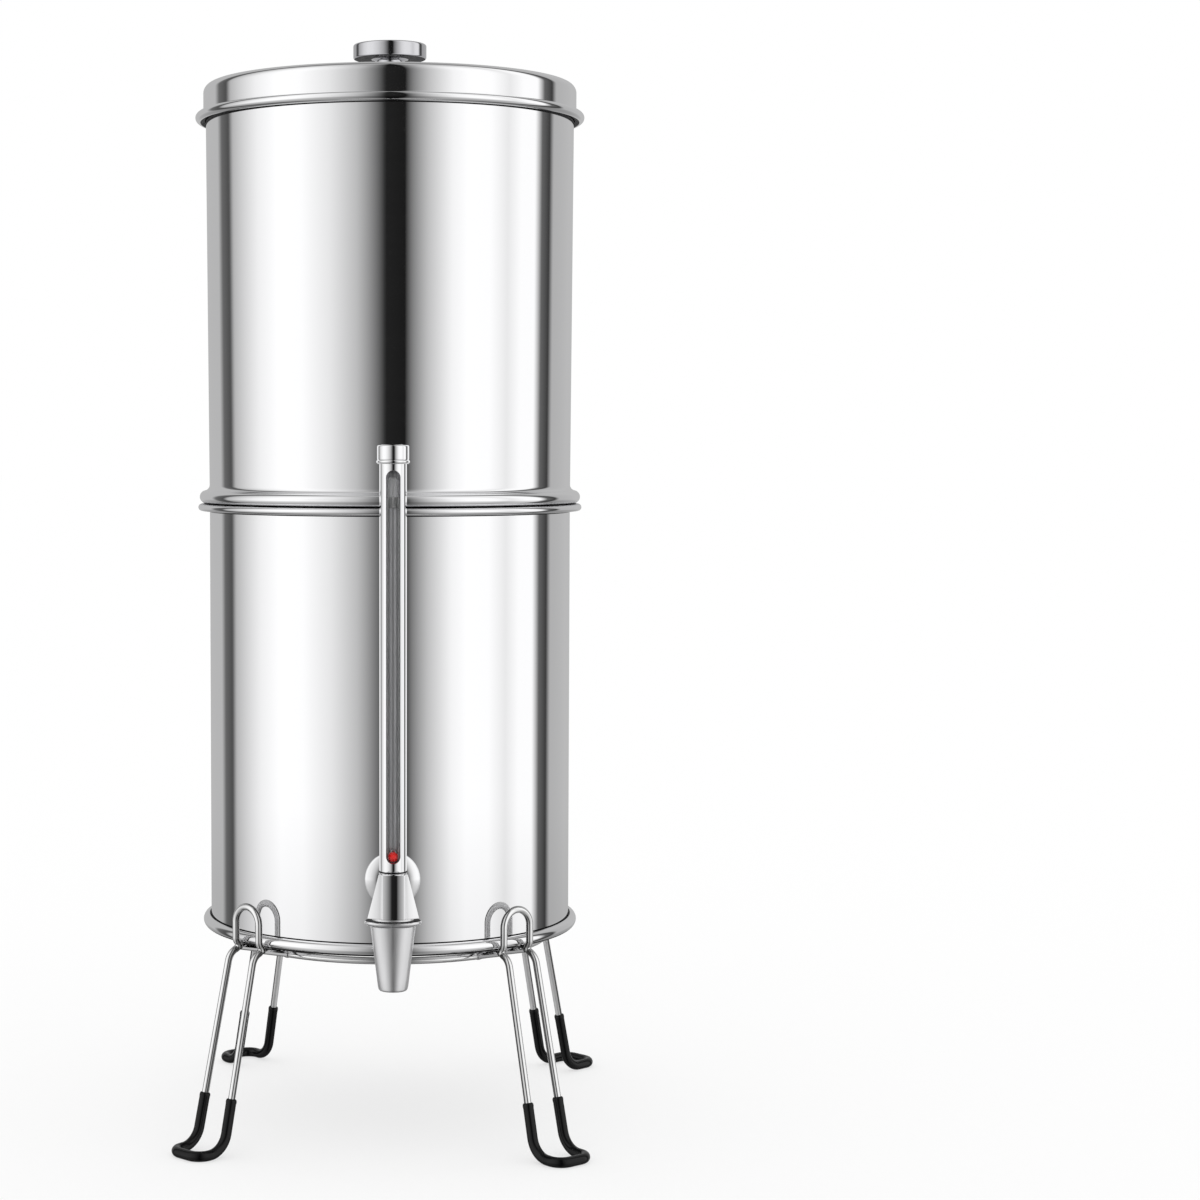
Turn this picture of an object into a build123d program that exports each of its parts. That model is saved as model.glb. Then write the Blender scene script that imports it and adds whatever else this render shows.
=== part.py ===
from build123d import *
import os
from math import cos, radians, sin, sqrt

# Gravity water filter: two stacked steel chambers on a wire stand, with a lever tap and sight gauge.
# Millimetres. Z is up, z = 0 is the table, the Z axis is the tower's axis, and the tap faces -Y.

# ---- driving dimensions ----
SHEET = 0.8                # wall of the spun and pressed steel
BODY_GAP = 0.4             # air between parts that lift off each other

# wire stand
WIRE = 2.05                # wire radius
SPOKE = 1.95               # radius of the short bars between legs and ring
RING_RADIUS = 94.0         # support ring, to the wire's centre
RING_Z = 108.7
ARCH_RADIUS = 116.0        # the upright arches stand in front of the base bead
ARCH_TOP = 137.7
ARCH_WIDTH = 19.5
ARCH_FOOT = 117.2          # where the arch's arms turn in under the bead
ARM_REACH = 112.4          # where the spokes to the ring start
ARM_Z = 113.3
KNEE_Z = 110.5             # where the legs turn down
LEG_LEAN = 0.2313          # outward travel per millimetre of drop
LEG_RADIUS = 145.96        # where the leg's line would meet the table
FOOT_WIDTH = 23.5
FOOT_BEND = 12.8
FOOT_CORNER = 7.5          # the two corners of the foot loop
SLEEVE = 3.0               # outer radius of the vinyl sleeve
SLEEVE_FLAT = 0.15         # vinyl pressed flat by the weight
# each leg's turn about the axis, the reach of its foot loop and how high its sleeve was dipped
LEGS = {
    "front_left": (-45.7, 164.0, 32.0),
    "front_right": (37.9, 165.8, 32.0),
    "rear_right": (132.1, 168.8, 38.5),
    "rear_left": (217.2, 164.0, 37.0),
}

# lower chamber
LOWER_RADIUS = 107.7
BASE_BEAD = 4.05
BASE_BEAD_RADIUS = 108.3
BASE_BEAD_Z = 118.9
BASE_RADIUS = 92.0         # flat bottom that stands on the ring, inside the sloping underside
RIM_TOP = 367.2
RIM_THICK = 4.0
RIM_REACH = 114.6

# upper chamber
STOP_BEAD = 3.8
STOP_BEAD_RADIUS = 109.9
STOP_FILLET = 3.5
SEAT_RADIUS = 106.3        # the plain band that drops into the lower chamber
SEAT_DROP = 13.8
UPPER_LOW_RADIUS = 107.8
UPPER_TOP_RADIUS = 109.3
UPPER_TOP = 611.2
STEM_OFFSET = 50.0         # the two filter stems, either side of the axis
STEM_HOLE = 6.6

# lid
LID_RADIUS = 110.6
LID_EDGE = 614.7
LID_CROWN = 616.5
LID_ROUND = 5.0
LID_BEAD = 2.7
LID_BEAD_RADIUS = 112.65
LID_BEAD_Z = 595.3
LID_PAD = 12.0             # flat pad under the knob
KNOB_RADIUS = 21.7
KNOB_TOP = 639.2
KNOB_SIDE = 8.7
KNOB_NECK = 8.0
KNOB_FOOT = 9.5
SCREW = 2.5

# filter elements
CARBON_RADIUS = 31.3
CARBON_HEIGHT = 230.0
TOP_CAP_RADIUS = 34.0
TOP_CAP_HEIGHT = 12.0
BOTTOM_CAP_RADIUS = 34.7
BOTTOM_CAP_HEIGHT = 15.0
CAP_WALL = 1.6
STEM = 6.0
STEM_TIP = 4.8
STEM_LENGTH = 35.0
SEAL_RADIUS = 19.0
SEAL_THICK = 5.3
WING_SPAN = 38.0
WING_HEIGHT = 9.6
NUT_HEIGHT = 12.0
NUT_HUB = 8.7
FLUORIDE_RADIUS = 38.0
FLUORIDE_LENGTH = 170.0
FLUORIDE_WALL = 2.5
SHOULDER_RADIUS = 41.4
NIPPLE = 17.3
NIPPLE_HEIGHT = 9.3

# tap
TAP_Y = -127.0             # vertical axis of the sight gauge and the nozzle
SHANK_Z = 158.0
SHANK = 7.8
SHANK_END = -84.0
SHANK_BORE = 4.0
TAP_HOLE = 8.2
WASHER_THICK = 2.8
WASHER_RADIUS = 12.0
ESCUTCHEON_RADIUS = 15.6
ESCUTCHEON_THICK = 3.4
NUT_FLATS = 24.0
BODY_TOP = 166.1
BODY_BOTTOM = 138.6
BODY_TOP_RADIUS = 7.7
BODY_LOW_WIDTH = 11.6
BODY_LOW_DEPTH = 8.5
FLANGE_WIDTH = 15.9        # half width of the nozzle's oval flange
FLANGE_DEPTH = 9.5
FLANGE_THICK = 2.9
FLANGE_ROUND = 1.4
NOZZLE_WIDTH = 12.8
NOZZLE_RADIUS = 8.2
NOZZLE_BOTTOM = 98.8
NOZZLE_BORE = 6.6

# lever and valve
PIVOT_Y = -136.0
PIVOT_Z = 162.0
PIN = 1.5
PIN_CLEARANCE = 0.06
LUG_INNER = 3.4
LUG_OUTER = 6.0
LUG_RADIUS = 2.6
LEVER_TOP = 165.8
LEVER_BOTTOM = 140.9
LEVER_TOP_WIDTH = 8.0      # half widths of the flared paddle
LEVER_LOW_WIDTH = 14.3
LEVER_CORNER = 1.0
LEVER_COLUMN = 6.6
LEVER_BACK = -136.4
LEVER_BOW = 26.0           # plan radius of the paddle's face
ROD_Y = -129.0
ROD = 1.5
ROD_TOP = 159.5
ROD_HEAD = 3.0
ROD_HEAD_THICK = 1.5
NOSE = 1.8
CAVITY = 3.5
SPRING_SEAT = 149.0
SPRING_WIRE = 0.35
SPRING_TURNS = 5
WET_TOP = 144.4
WET_RADIUS = 5.5
SEAT_TOP = 140.6
SEAT_HOLE = 3.0
PLUG_RADIUS = 4.1
PLUG_HEIGHT = 3.2
GALLERY_Y = -122.0
GALLERY = 1.5

# sight gauge
GAUGE_RADIUS = 7.65
GAUGE_BORE = 4.7
GAUGE_BOTTOM = 166.2
GAUGE_TOP = 396.0
SLOT_HALF = 4.0
SLOT_BOTTOM = 170.9
SLOT_TOP = 388.8
TUBE_OUTER = 3.9
TUBE_INNER = 3.3
TUBE_BOTTOM = 169.2
TUBE_TOP = 373.8
BALL = 3.0
BALL_Z = 173.6
VENT_RADIUS = 3.0
VENT_TOP = 385.0
CAP_RADIUS = 8.9
CAP_RING = 9.35
CAP_BOTTOM = 392.3
CAP_TOP = 402.7

# ---- derived heights ----
floor_z = RING_Z + WIRE + BODY_GAP
stop_bead_z = RIM_TOP + BODY_GAP + STOP_BEAD
seat_bottom = stop_bead_z - STOP_BEAD - SEAT_DROP
upper_floor = seat_bottom + SHEET
element_bottom = upper_floor + SEAL_THICK
knob_under = KNOB_TOP - KNOB_SIDE
nut_top = seat_bottom
fluoride_top = nut_top - NUT_HEIGHT - 1.0
foot_z = SLEEVE - SLEEVE_FLAT


# ---- helpers ----
def profile(*pieces):
    """A face closed by the given lines and arcs, in order."""
    return Face(Wire([edge for piece in pieces for edge in piece.edges()]))


def turned(face):
    """Turn a half section, drawn as radius and height, about the Z axis."""
    return revolve(Plane.XZ * face, Axis.Z)


def section(*points):
    """A straight-sided half section through the given points."""
    return profile(Polyline(*points, close=True))


def tube(outer, inner, low, high):
    """A plain tube about the Z axis."""
    return turned(section((inner, low), (outer, low), (outer, high), (inner, high)))


def rod(radius, low, high):
    """A plain rod about the Z axis."""
    return Pos(0, 0, low) * Cylinder(radius, high - low, align=(Align.CENTER, Align.CENTER, Align.MIN))


def across(radius, y, z, half_length):
    """A rod that lies along X."""
    return Pos(0, y, z) * Rot(0, 90, 0) * Cylinder(radius, 2 * half_length)


def inward(radius, z, start, end):
    """A rod that lies along Y, from start to end."""
    length = abs(end - start)
    return Pos(0, (start + end) / 2, z) * Rot(90, 0, 0) * Cylinder(radius, length)


def block(x, y, z):
    """A box given by its lowest and highest values along each axis."""
    size = [high - low for low, high in (x, y, z)]
    centre = [(high + low) / 2 for low, high in (x, y, z)]
    return Pos(*centre) * Box(*size)


def arc(start, middle, end):
    return ThreePointArc(start, middle, end)


def quarter(centre, radius, start, end):
    """An arc about a centre, from one angle to another in degrees."""
    def at(angle):
        return (centre[0] + radius * cos(radians(angle)), centre[1] + radius * sin(radians(angle)))
    return ThreePointArc(at(start), at((start + end) / 2), at(end))


# ---- stand ----
def on_leg(angle, reach, side, height):
    """A point on a leg: out from the axis, sideways from the leg's middle plane, and up."""
    turn = radians(angle)
    return Vector(reach * sin(turn) + side * cos(turn), -reach * cos(turn) + side * sin(turn), height)


def leg_reach(height):
    return LEG_RADIUS - LEG_LEAN * height


def support_ring():
    return Pos(0, 0, RING_Z) * Torus(RING_RADIUS, WIRE)


def leg_wire(angle, foot_reach):
    """One closed hairpin, with arch, arms, legs and foot loop, and the two spokes to the ring."""
    half = ARCH_WIDTH / 2
    foot = FOOT_WIDTH / 2
    stations = [
        (ARCH_RADIUS, half, ARCH_TOP),
        (ARCH_RADIUS, half, ARCH_FOOT),
        (ARM_REACH, half, ARM_Z),
        (leg_reach(KNEE_Z), half + 0.4, KNEE_Z),
        (leg_reach(foot_z), foot, foot_z),
        (foot_reach, foot, foot_z),
    ]
    bends = [half - 0.02, 3.5, 2.4, 8.4, FOOT_BEND, FOOT_CORNER]
    down = [on_leg(angle, reach, side, z) for reach, side, z in stations]
    back = [on_leg(angle, reach, -side, z) for reach, side, z in reversed(stations)]
    route = FilletPolyline(*down, *back, radius=bends + bends[::-1], close=True)
    wire = sweep(Plane(route @ 0, z_dir=route % 0) * Circle(WIRE), path=route)
    for side in (-half, half):
        root = on_leg(angle, sqrt(RING_RADIUS ** 2 - side ** 2), side, RING_Z)
        tip = on_leg(angle, ARM_REACH + 1.5, side, ARM_Z)
        spoke = Plane(root, z_dir=tip - root) * rod(SPOKE, 0, (tip - root).length)
        wire += spoke - support_ring()
    return wire


def foot_sleeve(angle, foot_reach, sleeve_top):
    """Vinyl sleeve on the foot loop, pressed flat where it stands."""
    foot = FOOT_WIDTH / 2
    half = ARCH_WIDTH / 2 + 0.4
    rise = (sleeve_top - foot_z) / (KNEE_Z - foot_z)
    top_side = foot + (half - foot) * rise
    top_reach = leg_reach(foot_z) + (leg_reach(KNEE_Z) - leg_reach(foot_z)) * rise
    stations = [(top_reach, top_side, sleeve_top), (leg_reach(foot_z), foot, foot_z),
                (foot_reach, foot, foot_z)]
    down = [on_leg(angle, reach, side, z) for reach, side, z in stations]
    back = [on_leg(angle, reach, -side, z) for reach, side, z in reversed(stations)]
    bends = [FOOT_BEND, FOOT_CORNER, FOOT_CORNER, FOOT_BEND]
    route = FilletPolyline(*down, *back, radius=bends)
    wall = Circle(SLEEVE) - Circle(WIRE + 0.02)
    sleeve = sweep(Plane(route @ 0, z_dir=route % 0) * wall, path=route)
    reach = foot_reach + 20
    return sleeve - block((-reach, reach), (-reach, reach), (-5, 0))


# ---- chambers ----
def lower_chamber():
    """Straight wall, rolled rim that carries the upper chamber, base bead and a base that tapers in."""
    wall = LOWER_RADIUS - SHEET
    rim_half = RIM_THICK / 2
    rim_centre = RIM_REACH - rim_half
    bead_low = BASE_BEAD_Z - 2.6
    shell = profile(
        Polyline((0, floor_z), (BASE_RADIUS, floor_z), (LOWER_RADIUS - 1.4, bead_low),
                 (LOWER_RADIUS, BASE_BEAD_Z), (LOWER_RADIUS, RIM_TOP - RIM_THICK),
                 (rim_centre, RIM_TOP - RIM_THICK)),
        quarter((rim_centre, RIM_TOP - rim_half), rim_half, -90, 90),
        Line((rim_centre, RIM_TOP), (wall + SHEET, RIM_TOP)),
        quarter((wall + SHEET, RIM_TOP - SHEET), SHEET, 90, 180),
        Polyline((wall, RIM_TOP - SHEET), (wall, BASE_BEAD_Z + 0.5), (wall - 1.2, bead_low + 0.8),
                 (BASE_RADIUS - 0.2, floor_z + SHEET), (0, floor_z + SHEET), (0, floor_z)),
    )
    inside = section((0, floor_z + SHEET), (BASE_RADIUS - 0.2, floor_z + SHEET), (wall - 1.2, bead_low + 0.8),
                     (wall, BASE_BEAD_Z + 0.5), (wall, RIM_TOP), (0, RIM_TOP))
    bead = Pos(BASE_BEAD_RADIUS, BASE_BEAD_Z) * Circle(BASE_BEAD)
    chamber = turned(shell + (bead - inside))
    return chamber - inward(TAP_HOLE, SHANK_Z, -LOWER_RADIUS + 20, -LOWER_RADIUS - 20)


def upper_chamber():
    """Slightly tapered wall with a stop bead above the band that drops into the lower chamber."""
    corner = 4.0
    bead = (STOP_BEAD_RADIUS, stop_bead_z)
    fillet_x = UPPER_LOW_RADIUS + STOP_FILLET
    reach = STOP_BEAD + STOP_FILLET
    fillet_z = stop_bead_z + sqrt(reach ** 2 - (fillet_x - STOP_BEAD_RADIUS) ** 2)
    share = STOP_BEAD / reach
    touch = (bead[0] + (fillet_x - bead[0]) * share, bead[1] + (fillet_z - bead[1]) * share)
    blend_middle = (fillet_x - STOP_FILLET * cos(radians(39)), fillet_z - STOP_FILLET * sin(radians(39)))
    bead_low = (bead[0], bead[1] - STOP_BEAD)
    inner_seat = SEAT_RADIUS - SHEET
    inner_corner = corner - SHEET
    shell = profile(
        Line((0, seat_bottom), (SEAT_RADIUS - corner, seat_bottom)),
        quarter((SEAT_RADIUS - corner, seat_bottom + corner), corner, -90, 0),
        Polyline((SEAT_RADIUS, seat_bottom + corner), (SEAT_RADIUS, bead_low[1]), bead_low),
        arc(bead_low, (bead[0] + STOP_BEAD, bead[1]), touch),
        arc(touch, blend_middle, (UPPER_LOW_RADIUS, fillet_z)),
        Line((UPPER_LOW_RADIUS, fillet_z), (UPPER_TOP_RADIUS, UPPER_TOP - SHEET / 2)),
        arc((UPPER_TOP_RADIUS, UPPER_TOP - SHEET / 2), (UPPER_TOP_RADIUS - SHEET / 2, UPPER_TOP),
            (UPPER_TOP_RADIUS - SHEET, UPPER_TOP - SHEET / 2)),
        Polyline((UPPER_TOP_RADIUS - SHEET, UPPER_TOP - SHEET / 2),
                 (UPPER_LOW_RADIUS - SHEET, fillet_z), (inner_seat, bead_low[1]),
                 (inner_seat, upper_floor + inner_corner)),
        quarter((inner_seat - inner_corner, upper_floor + inner_corner), inner_corner, 0, -90),
        Polyline((inner_seat - inner_corner, upper_floor), (0, upper_floor), (0, seat_bottom)),
    )
    chamber = turned(shell)
    for side in (-1, 1):
        chamber -= Pos(side * STEM_OFFSET, 0, 0) * rod(STEM_HOLE, seat_bottom - 1, upper_floor + 1)
    return chamber


# ---- lid ----
def lid_shell():
    """Pressed lid: crowned top with a knob pad, rounded shoulder, skirt and rolled bead."""
    inner = LID_RADIUS - SHEET
    inner_round = LID_ROUND - SHEET
    shoulder = LID_RADIUS - LID_ROUND
    skirt_low = LID_BEAD_Z - 1.6
    half_way = (shoulder + LID_PAD) / 2
    crown = LID_CROWN - 0.45
    shell = profile(
        Polyline((inner, skirt_low), (LID_RADIUS, skirt_low), (LID_RADIUS, LID_EDGE - LID_ROUND)),
        quarter((shoulder, LID_EDGE - LID_ROUND), LID_ROUND, 0, 90),
        arc((shoulder, LID_EDGE), (half_way, crown), (LID_PAD, LID_CROWN)),
        Polyline((LID_PAD, LID_CROWN), (SCREW + 0.2, LID_CROWN), (SCREW + 0.2, LID_CROWN - SHEET),
                 (LID_PAD, LID_CROWN - SHEET)),
        arc((LID_PAD, LID_CROWN - SHEET), (half_way, crown - SHEET), (shoulder, LID_EDGE - SHEET)),
        quarter((shoulder, LID_EDGE - LID_ROUND), inner_round, 90, 0),
        Line((inner, LID_EDGE - LID_ROUND), (inner, skirt_low)),
    )
    bead = Pos(LID_BEAD_RADIUS, LID_BEAD_Z) * Circle(LID_BEAD)
    return turned(shell + bead)


def lid_knob():
    """Mushroom knob: foot, waist, flat underside and a disc with softened edges."""
    flare = 3.0
    edge = 1.2
    half = profile(
        Line((SCREW, LID_CROWN), (KNOB_FOOT, LID_CROWN)),
        arc((KNOB_FOOT, LID_CROWN), (KNOB_NECK + 0.3, LID_CROWN + 2.2), (KNOB_NECK, LID_CROWN + 5)),
        Line((KNOB_NECK, LID_CROWN + 5), (KNOB_NECK, knob_under - flare)),
        quarter((KNOB_NECK + flare, knob_under - flare), flare, 180, 90),
        Polyline((KNOB_NECK + flare, knob_under), (KNOB_RADIUS - edge, knob_under),
                 (KNOB_RADIUS, knob_under + edge), (KNOB_RADIUS, KNOB_TOP - edge)),
        quarter((KNOB_RADIUS - edge, KNOB_TOP - edge), edge, 0, 90),
        Polyline((KNOB_RADIUS - edge, KNOB_TOP), (0, KNOB_TOP), (0, LID_CROWN + 13),
                 (SCREW, LID_CROWN + 12), (SCREW, LID_CROWN)),
    )
    return turned(half)


def knob_washer():
    under = LID_CROWN - SHEET
    return tube(8.0, SCREW + 0.2, under - 1.2, under)


def knob_screw():
    """Pan head screw up through the lid into the knob."""
    head_top = LID_CROWN - SHEET - 1.2
    shank = SCREW - 0.02
    half = profile(
        Line((0, head_top - 3.0), (2.8, head_top - 3.0)),
        arc((2.8, head_top - 3.0), (4.2, head_top - 2.2), (4.7, head_top)),
        Polyline((4.7, head_top), (shank, head_top), (shank, LID_CROWN + 10), (shank - 0.8, LID_CROWN + 11),
                 (0, LID_CROWN + 11), (0, head_top - 3.0)),
    )
    cross = block((-2.0, 2.0), (-0.5, 0.5), (head_top - 3.1, head_top - 1.6))
    cross += block((-0.5, 0.5), (-2.0, 2.0), (head_top - 3.1, head_top - 1.6))
    return turned(half) - cross


# ---- carbon elements, each about its own stem's axis ----
def carbon_block():
    low = element_bottom + 2.0
    high = element_bottom + CARBON_HEIGHT - 2.0
    return tube(CARBON_RADIUS, 9.0, low, high)


def carbon_top_cap():
    """Shallow moulded cup over the block's upper end."""
    top = element_bottom + CARBON_HEIGHT
    low = top - TOP_CAP_HEIGHT
    wall = TOP_CAP_RADIUS - CAP_WALL
    edge = 1.5
    half = profile(
        Polyline((wall, low), (TOP_CAP_RADIUS, low), (TOP_CAP_RADIUS, top - edge)),
        quarter((TOP_CAP_RADIUS - edge, top - edge), edge, 0, 90),
        Polyline((TOP_CAP_RADIUS - edge, top), (0, top), (0, top - 2.0), (wall, top - 2.0), (wall, low)),
    )
    return turned(half)


def carbon_bottom_cap():
    """Moulded cup with the hollow threaded stem."""
    low = element_bottom
    high = low + BOTTOM_CAP_HEIGHT
    wall = BOTTOM_CAP_RADIUS - CAP_WALL
    edge = 1.5
    end = low - STEM_LENGTH
    bore = 2.5
    half = profile(
        Polyline((bore, end), (STEM_TIP - 0.8, end), (STEM_TIP, end + 0.8), (STEM_TIP, end + 7.0),
                 (STEM - 0.6, end + 8.0), (STEM - 0.6, nut_top - NUT_HEIGHT + 2), (STEM - 0.6, low),
                 (BOTTOM_CAP_RADIUS - edge, low)),
        quarter((BOTTOM_CAP_RADIUS - edge, low + edge), edge, -90, 0),
        Polyline((BOTTOM_CAP_RADIUS, low + edge), (BOTTOM_CAP_RADIUS, high), (wall, high),
                 (wall, low + 2.0), (bore, low + 2.0), (bore, end)),
    )
    cap = turned(half)
    pitch = 2.0
    thread_low = end + 8.6
    thread_high = nut_top + 4.0
    for turn in range(int((thread_high - thread_low) / pitch)):
        z = thread_low + turn * pitch
        cap += turned(section((STEM - 0.7, z), (STEM, z + 0.6), (STEM, z + 0.9), (STEM - 0.7, z + 1.5)))
    return cap


def element_seal():
    """Thick translucent washer between the bottom cap and the chamber's floor."""
    low = upper_floor
    high = element_bottom
    hole = STEM + 0.05
    edge = 1.6
    half = profile(
        Line((hole, low), (SEAL_RADIUS - edge, low)),
        quarter((SEAL_RADIUS - edge, low + edge), edge, -90, 0),
        Polyline((SEAL_RADIUS, low + edge), (SEAL_RADIUS, high), (hole, high), (hole, low)),
    )
    return turned(half)


def wing_nut():
    """Plastic nut with two flat wings, turned up against the chamber's floor."""
    top = nut_top
    hub = turned(section((STEM + 0.05, top), (NUT_HUB + 2.2, top), (NUT_HUB + 2.2, top - 1.6),
                         (NUT_HUB, top - 2.4), (NUT_HUB - 0.8, top - NUT_HEIGHT + 2),
                         (NUT_HUB - 2.0, top - NUT_HEIGHT), (STEM + 0.05, top - NUT_HEIGHT)))
    wing = Pos(0, 0, top - WING_HEIGHT / 2) * Box(WING_SPAN, 3.2, WING_HEIGHT)
    wing = fillet(wing.edges().filter_by(Axis.Y), 2.0)
    return hub + (wing - rod(STEM + 0.05, top - 20, top + 1))


# ---- fluoride filters, each about its own stem's axis ----
def fluoride_cap():
    """Shoulder cap with a threaded nipple that takes the element's stem."""
    top = fluoride_top
    wall = FLUORIDE_WALL
    stem_bore = STEM + 0.05
    deep = top - 31.9
    half = profile(
        Polyline((stem_bore, top), (NIPPLE, top), (NIPPLE, top - NIPPLE_HEIGHT), (35.0, top - 12.7)),
        arc((35.0, top - 12.7), (38.0, top - 14.6), (39.4, top - 17.4)),
        Polyline((39.4, top - 17.4), (SHOULDER_RADIUS, top - 21.8), (39.2, deep),
                 (FLUORIDE_RADIUS - wall, deep), (FLUORIDE_RADIUS - wall, top - 21.0),
                 (30.0, top - 15.5), (NIPPLE - 3.0, top - 13.5), (stem_bore, top - 13.5),
                 (stem_bore, top)),
    )
    return turned(half)


def fluoride_cup():
    """Plain cup with a rounded bottom and an outlet nipple."""
    top = fluoride_top
    bottom = top - FLUORIDE_LENGTH
    wall = FLUORIDE_WALL
    shoulder = bottom + 16.5
    neck = bottom + 8.8
    high = top - 32.0
    half = profile(
        Polyline((12.0, bottom), (NIPPLE, bottom), (NIPPLE, neck)),
        arc((NIPPLE, neck), (32.6, shoulder - 4.2), (FLUORIDE_RADIUS, shoulder + 3.0)),
        Polyline((FLUORIDE_RADIUS, shoulder + 3.0), (FLUORIDE_RADIUS, high),
                 (FLUORIDE_RADIUS - wall, high), (FLUORIDE_RADIUS - wall, shoulder + 3.5)),
        arc((FLUORIDE_RADIUS - wall, shoulder + 3.5), (31.0, shoulder - 1.8), (NIPPLE - 1.0, neck + 2.4)),
        Polyline((NIPPLE - 1.0, neck + 2.4), (12.0, neck + 2.4), (12.0, bottom)),
    )
    return turned(half)


def fluoride_media():
    low = fluoride_top - FLUORIDE_LENGTH + 24.0
    return rod(FLUORIDE_RADIUS - FLUORIDE_WALL - 0.2, low, fluoride_top - 34.0)


# ---- tap ----
def at_tap(shape):
    return Pos(0, TAP_Y, 0) * shape


def on_wall(radius, hole, near, far, wall_radius, keep_outside):
    """A washer on the shank that fits the chamber's curved wall."""
    ring = inward(radius, SHANK_Z, near, far) - inward(hole, SHANK_Z, near - 1, far + 1)
    wall = rod(wall_radius, SHANK_Z - 30, SHANK_Z + 30)
    return ring - wall if keep_outside else ring & wall


def valve_body():
    """Cast body: round at the sight gauge, oval at the nozzle, with the shank behind."""
    base = Pos(0, TAP_Y, BODY_BOTTOM) * Ellipse(BODY_LOW_WIDTH, BODY_LOW_DEPTH)
    waist = Pos(0, TAP_Y, (BODY_BOTTOM + BODY_TOP) / 2) * Ellipse(9.3, 8.0)
    crown = Pos(0, TAP_Y, BODY_TOP) * Circle(BODY_TOP_RADIUS)
    body = loft([base, waist, crown])
    body += at_tap(rod(GAUGE_BORE - 0.02, BODY_TOP, TUBE_BOTTOM - 1.2))
    body += inward(SHANK, SHANK_Z, TAP_Y + 4.5, SHANK_END)
    for side in (-1, 1):
        lug_x = side * (LUG_INNER + LUG_OUTER) / 2
        width = (LUG_OUTER - LUG_INNER) / 2
        lug = Pos(lug_x, 0, 0) * across(LUG_RADIUS, PIVOT_Y, PIVOT_Z, width)
        root = (lug_x - width, lug_x + width)
        body += lug + block(root, (PIVOT_Y, TAP_Y), (PIVOT_Z - LUG_RADIUS, PIVOT_Z + LUG_RADIUS))
    pin_hole = across(PIN, PIVOT_Y, PIVOT_Z, LUG_OUTER + 1)
    slot_top = PIVOT_Z + LUG_RADIUS + 0.3
    nose_slot = block((-LUG_INNER, LUG_INNER), (PIVOT_Y - 4, ROD_Y + NOSE + 0.4), (ROD_TOP - 6, slot_top))
    cavity = Pos(0, ROD_Y, 0) * rod(CAVITY, SPRING_SEAT, slot_top)
    rod_bore = Pos(0, ROD_Y, 0) * rod(ROD + 0.05, BODY_BOTTOM - 1, SPRING_SEAT + 1)
    seal_groove = Pos(0, ROD_Y, 0) * rod(ROD + 1.5, WET_TOP + 0.6, WET_TOP + 2.2)
    wet = Pos(0, ROD_Y + 1, 0) * rod(WET_RADIUS, SEAT_TOP, WET_TOP)
    seat = Pos(0, ROD_Y, 0) * rod(SEAT_HOLE, BODY_BOTTOM - 1, SEAT_TOP + 1)
    inlet = inward(SHANK_BORE, SHANK_Z, GALLERY_Y, SHANK_END + 1)
    gallery = Pos(0, GALLERY_Y, 0) * rod(GALLERY, WET_TOP - 2, SHANK_Z)
    climb = Vector(0, TAP_Y - GALLERY_Y, TUBE_BOTTOM + 2 - SHANK_Z)
    riser_plane = Plane((0, GALLERY_Y, SHANK_Z), z_dir=climb)
    riser = riser_plane * Cylinder(1.2, climb.length, align=(Align.CENTER, Align.CENTER, Align.MIN))
    for void in (pin_hole, nose_slot, cavity, rod_bore, seal_groove, wet, seat, inlet, gallery, riser):
        body -= void
    return body


def escutcheon():
    """Dished cover plate with a bevelled edge, facing the tap."""
    back = 0.0
    front = ESCUTCHEON_THICK
    hole = SHANK + 0.05
    half = section((hole, front - 1.2), (11.0, front - 1.2), (ESCUTCHEON_RADIUS - 1.0, back),
                   (ESCUTCHEON_RADIUS, back), (ESCUTCHEON_RADIUS, back + 0.9),
                   (ESCUTCHEON_RADIUS - 1.9, front - 0.5), (12.4, front), (hole, front))
    plate = turned(half)
    outer_face = -LOWER_RADIUS - WASHER_THICK + 2.2
    return Pos(0, outer_face, SHANK_Z) * Rot(90, 0, 0) * plate


def outer_washer():
    near = -LOWER_RADIUS - WASHER_THICK
    return on_wall(9.8, SHANK + 0.05, near, -LOWER_RADIUS + 3, LOWER_RADIUS, True)


def inner_washer():
    wall = LOWER_RADIUS - SHEET
    return on_wall(WASHER_RADIUS, SHANK + 0.05, -wall - 3, -wall + WASHER_THICK, wall, False)


def lock_nut():
    near = -LOWER_RADIUS + SHEET + WASHER_THICK
    height = 6.0
    hexagon = RegularPolygon(NUT_FLATS / 2, 6, major_radius=False) - Circle(SHANK + 0.03)
    nut = extrude(hexagon, height)
    nut = chamfer(nut.edges().filter_by(GeomType.LINE).group_by(Axis.Z)[-1], 0.8)
    return Pos(0, near, SHANK_Z) * Rot(-90, 0, 0) * nut


def nozzle():
    """Oval flange on a spout that runs from oval to round, with a rounded lip."""
    top = BODY_BOTTOM - 0.05
    under = top - FLANGE_THICK
    lip = 1.4
    flange = Pos(0, TAP_Y, under) * extrude(Ellipse(FLANGE_WIDTH, FLANGE_DEPTH), FLANGE_THICK)
    flange = fillet(flange.edges(), FLANGE_ROUND)
    upper = Pos(0, TAP_Y, under + 0.5) * Ellipse(NOZZLE_WIDTH, NOZZLE_RADIUS + 0.3)
    lower = Pos(0, TAP_Y, NOZZLE_BOTTOM) * Circle(NOZZLE_RADIUS)
    spout = loft([lower, upper])
    spout = fillet(spout.edges().group_by(Axis.Z)[0], lip)
    bore = at_tap(rod(NOZZLE_BORE, NOZZLE_BOTTOM - 1, top + 1))
    return flange + spout - bore


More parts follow.
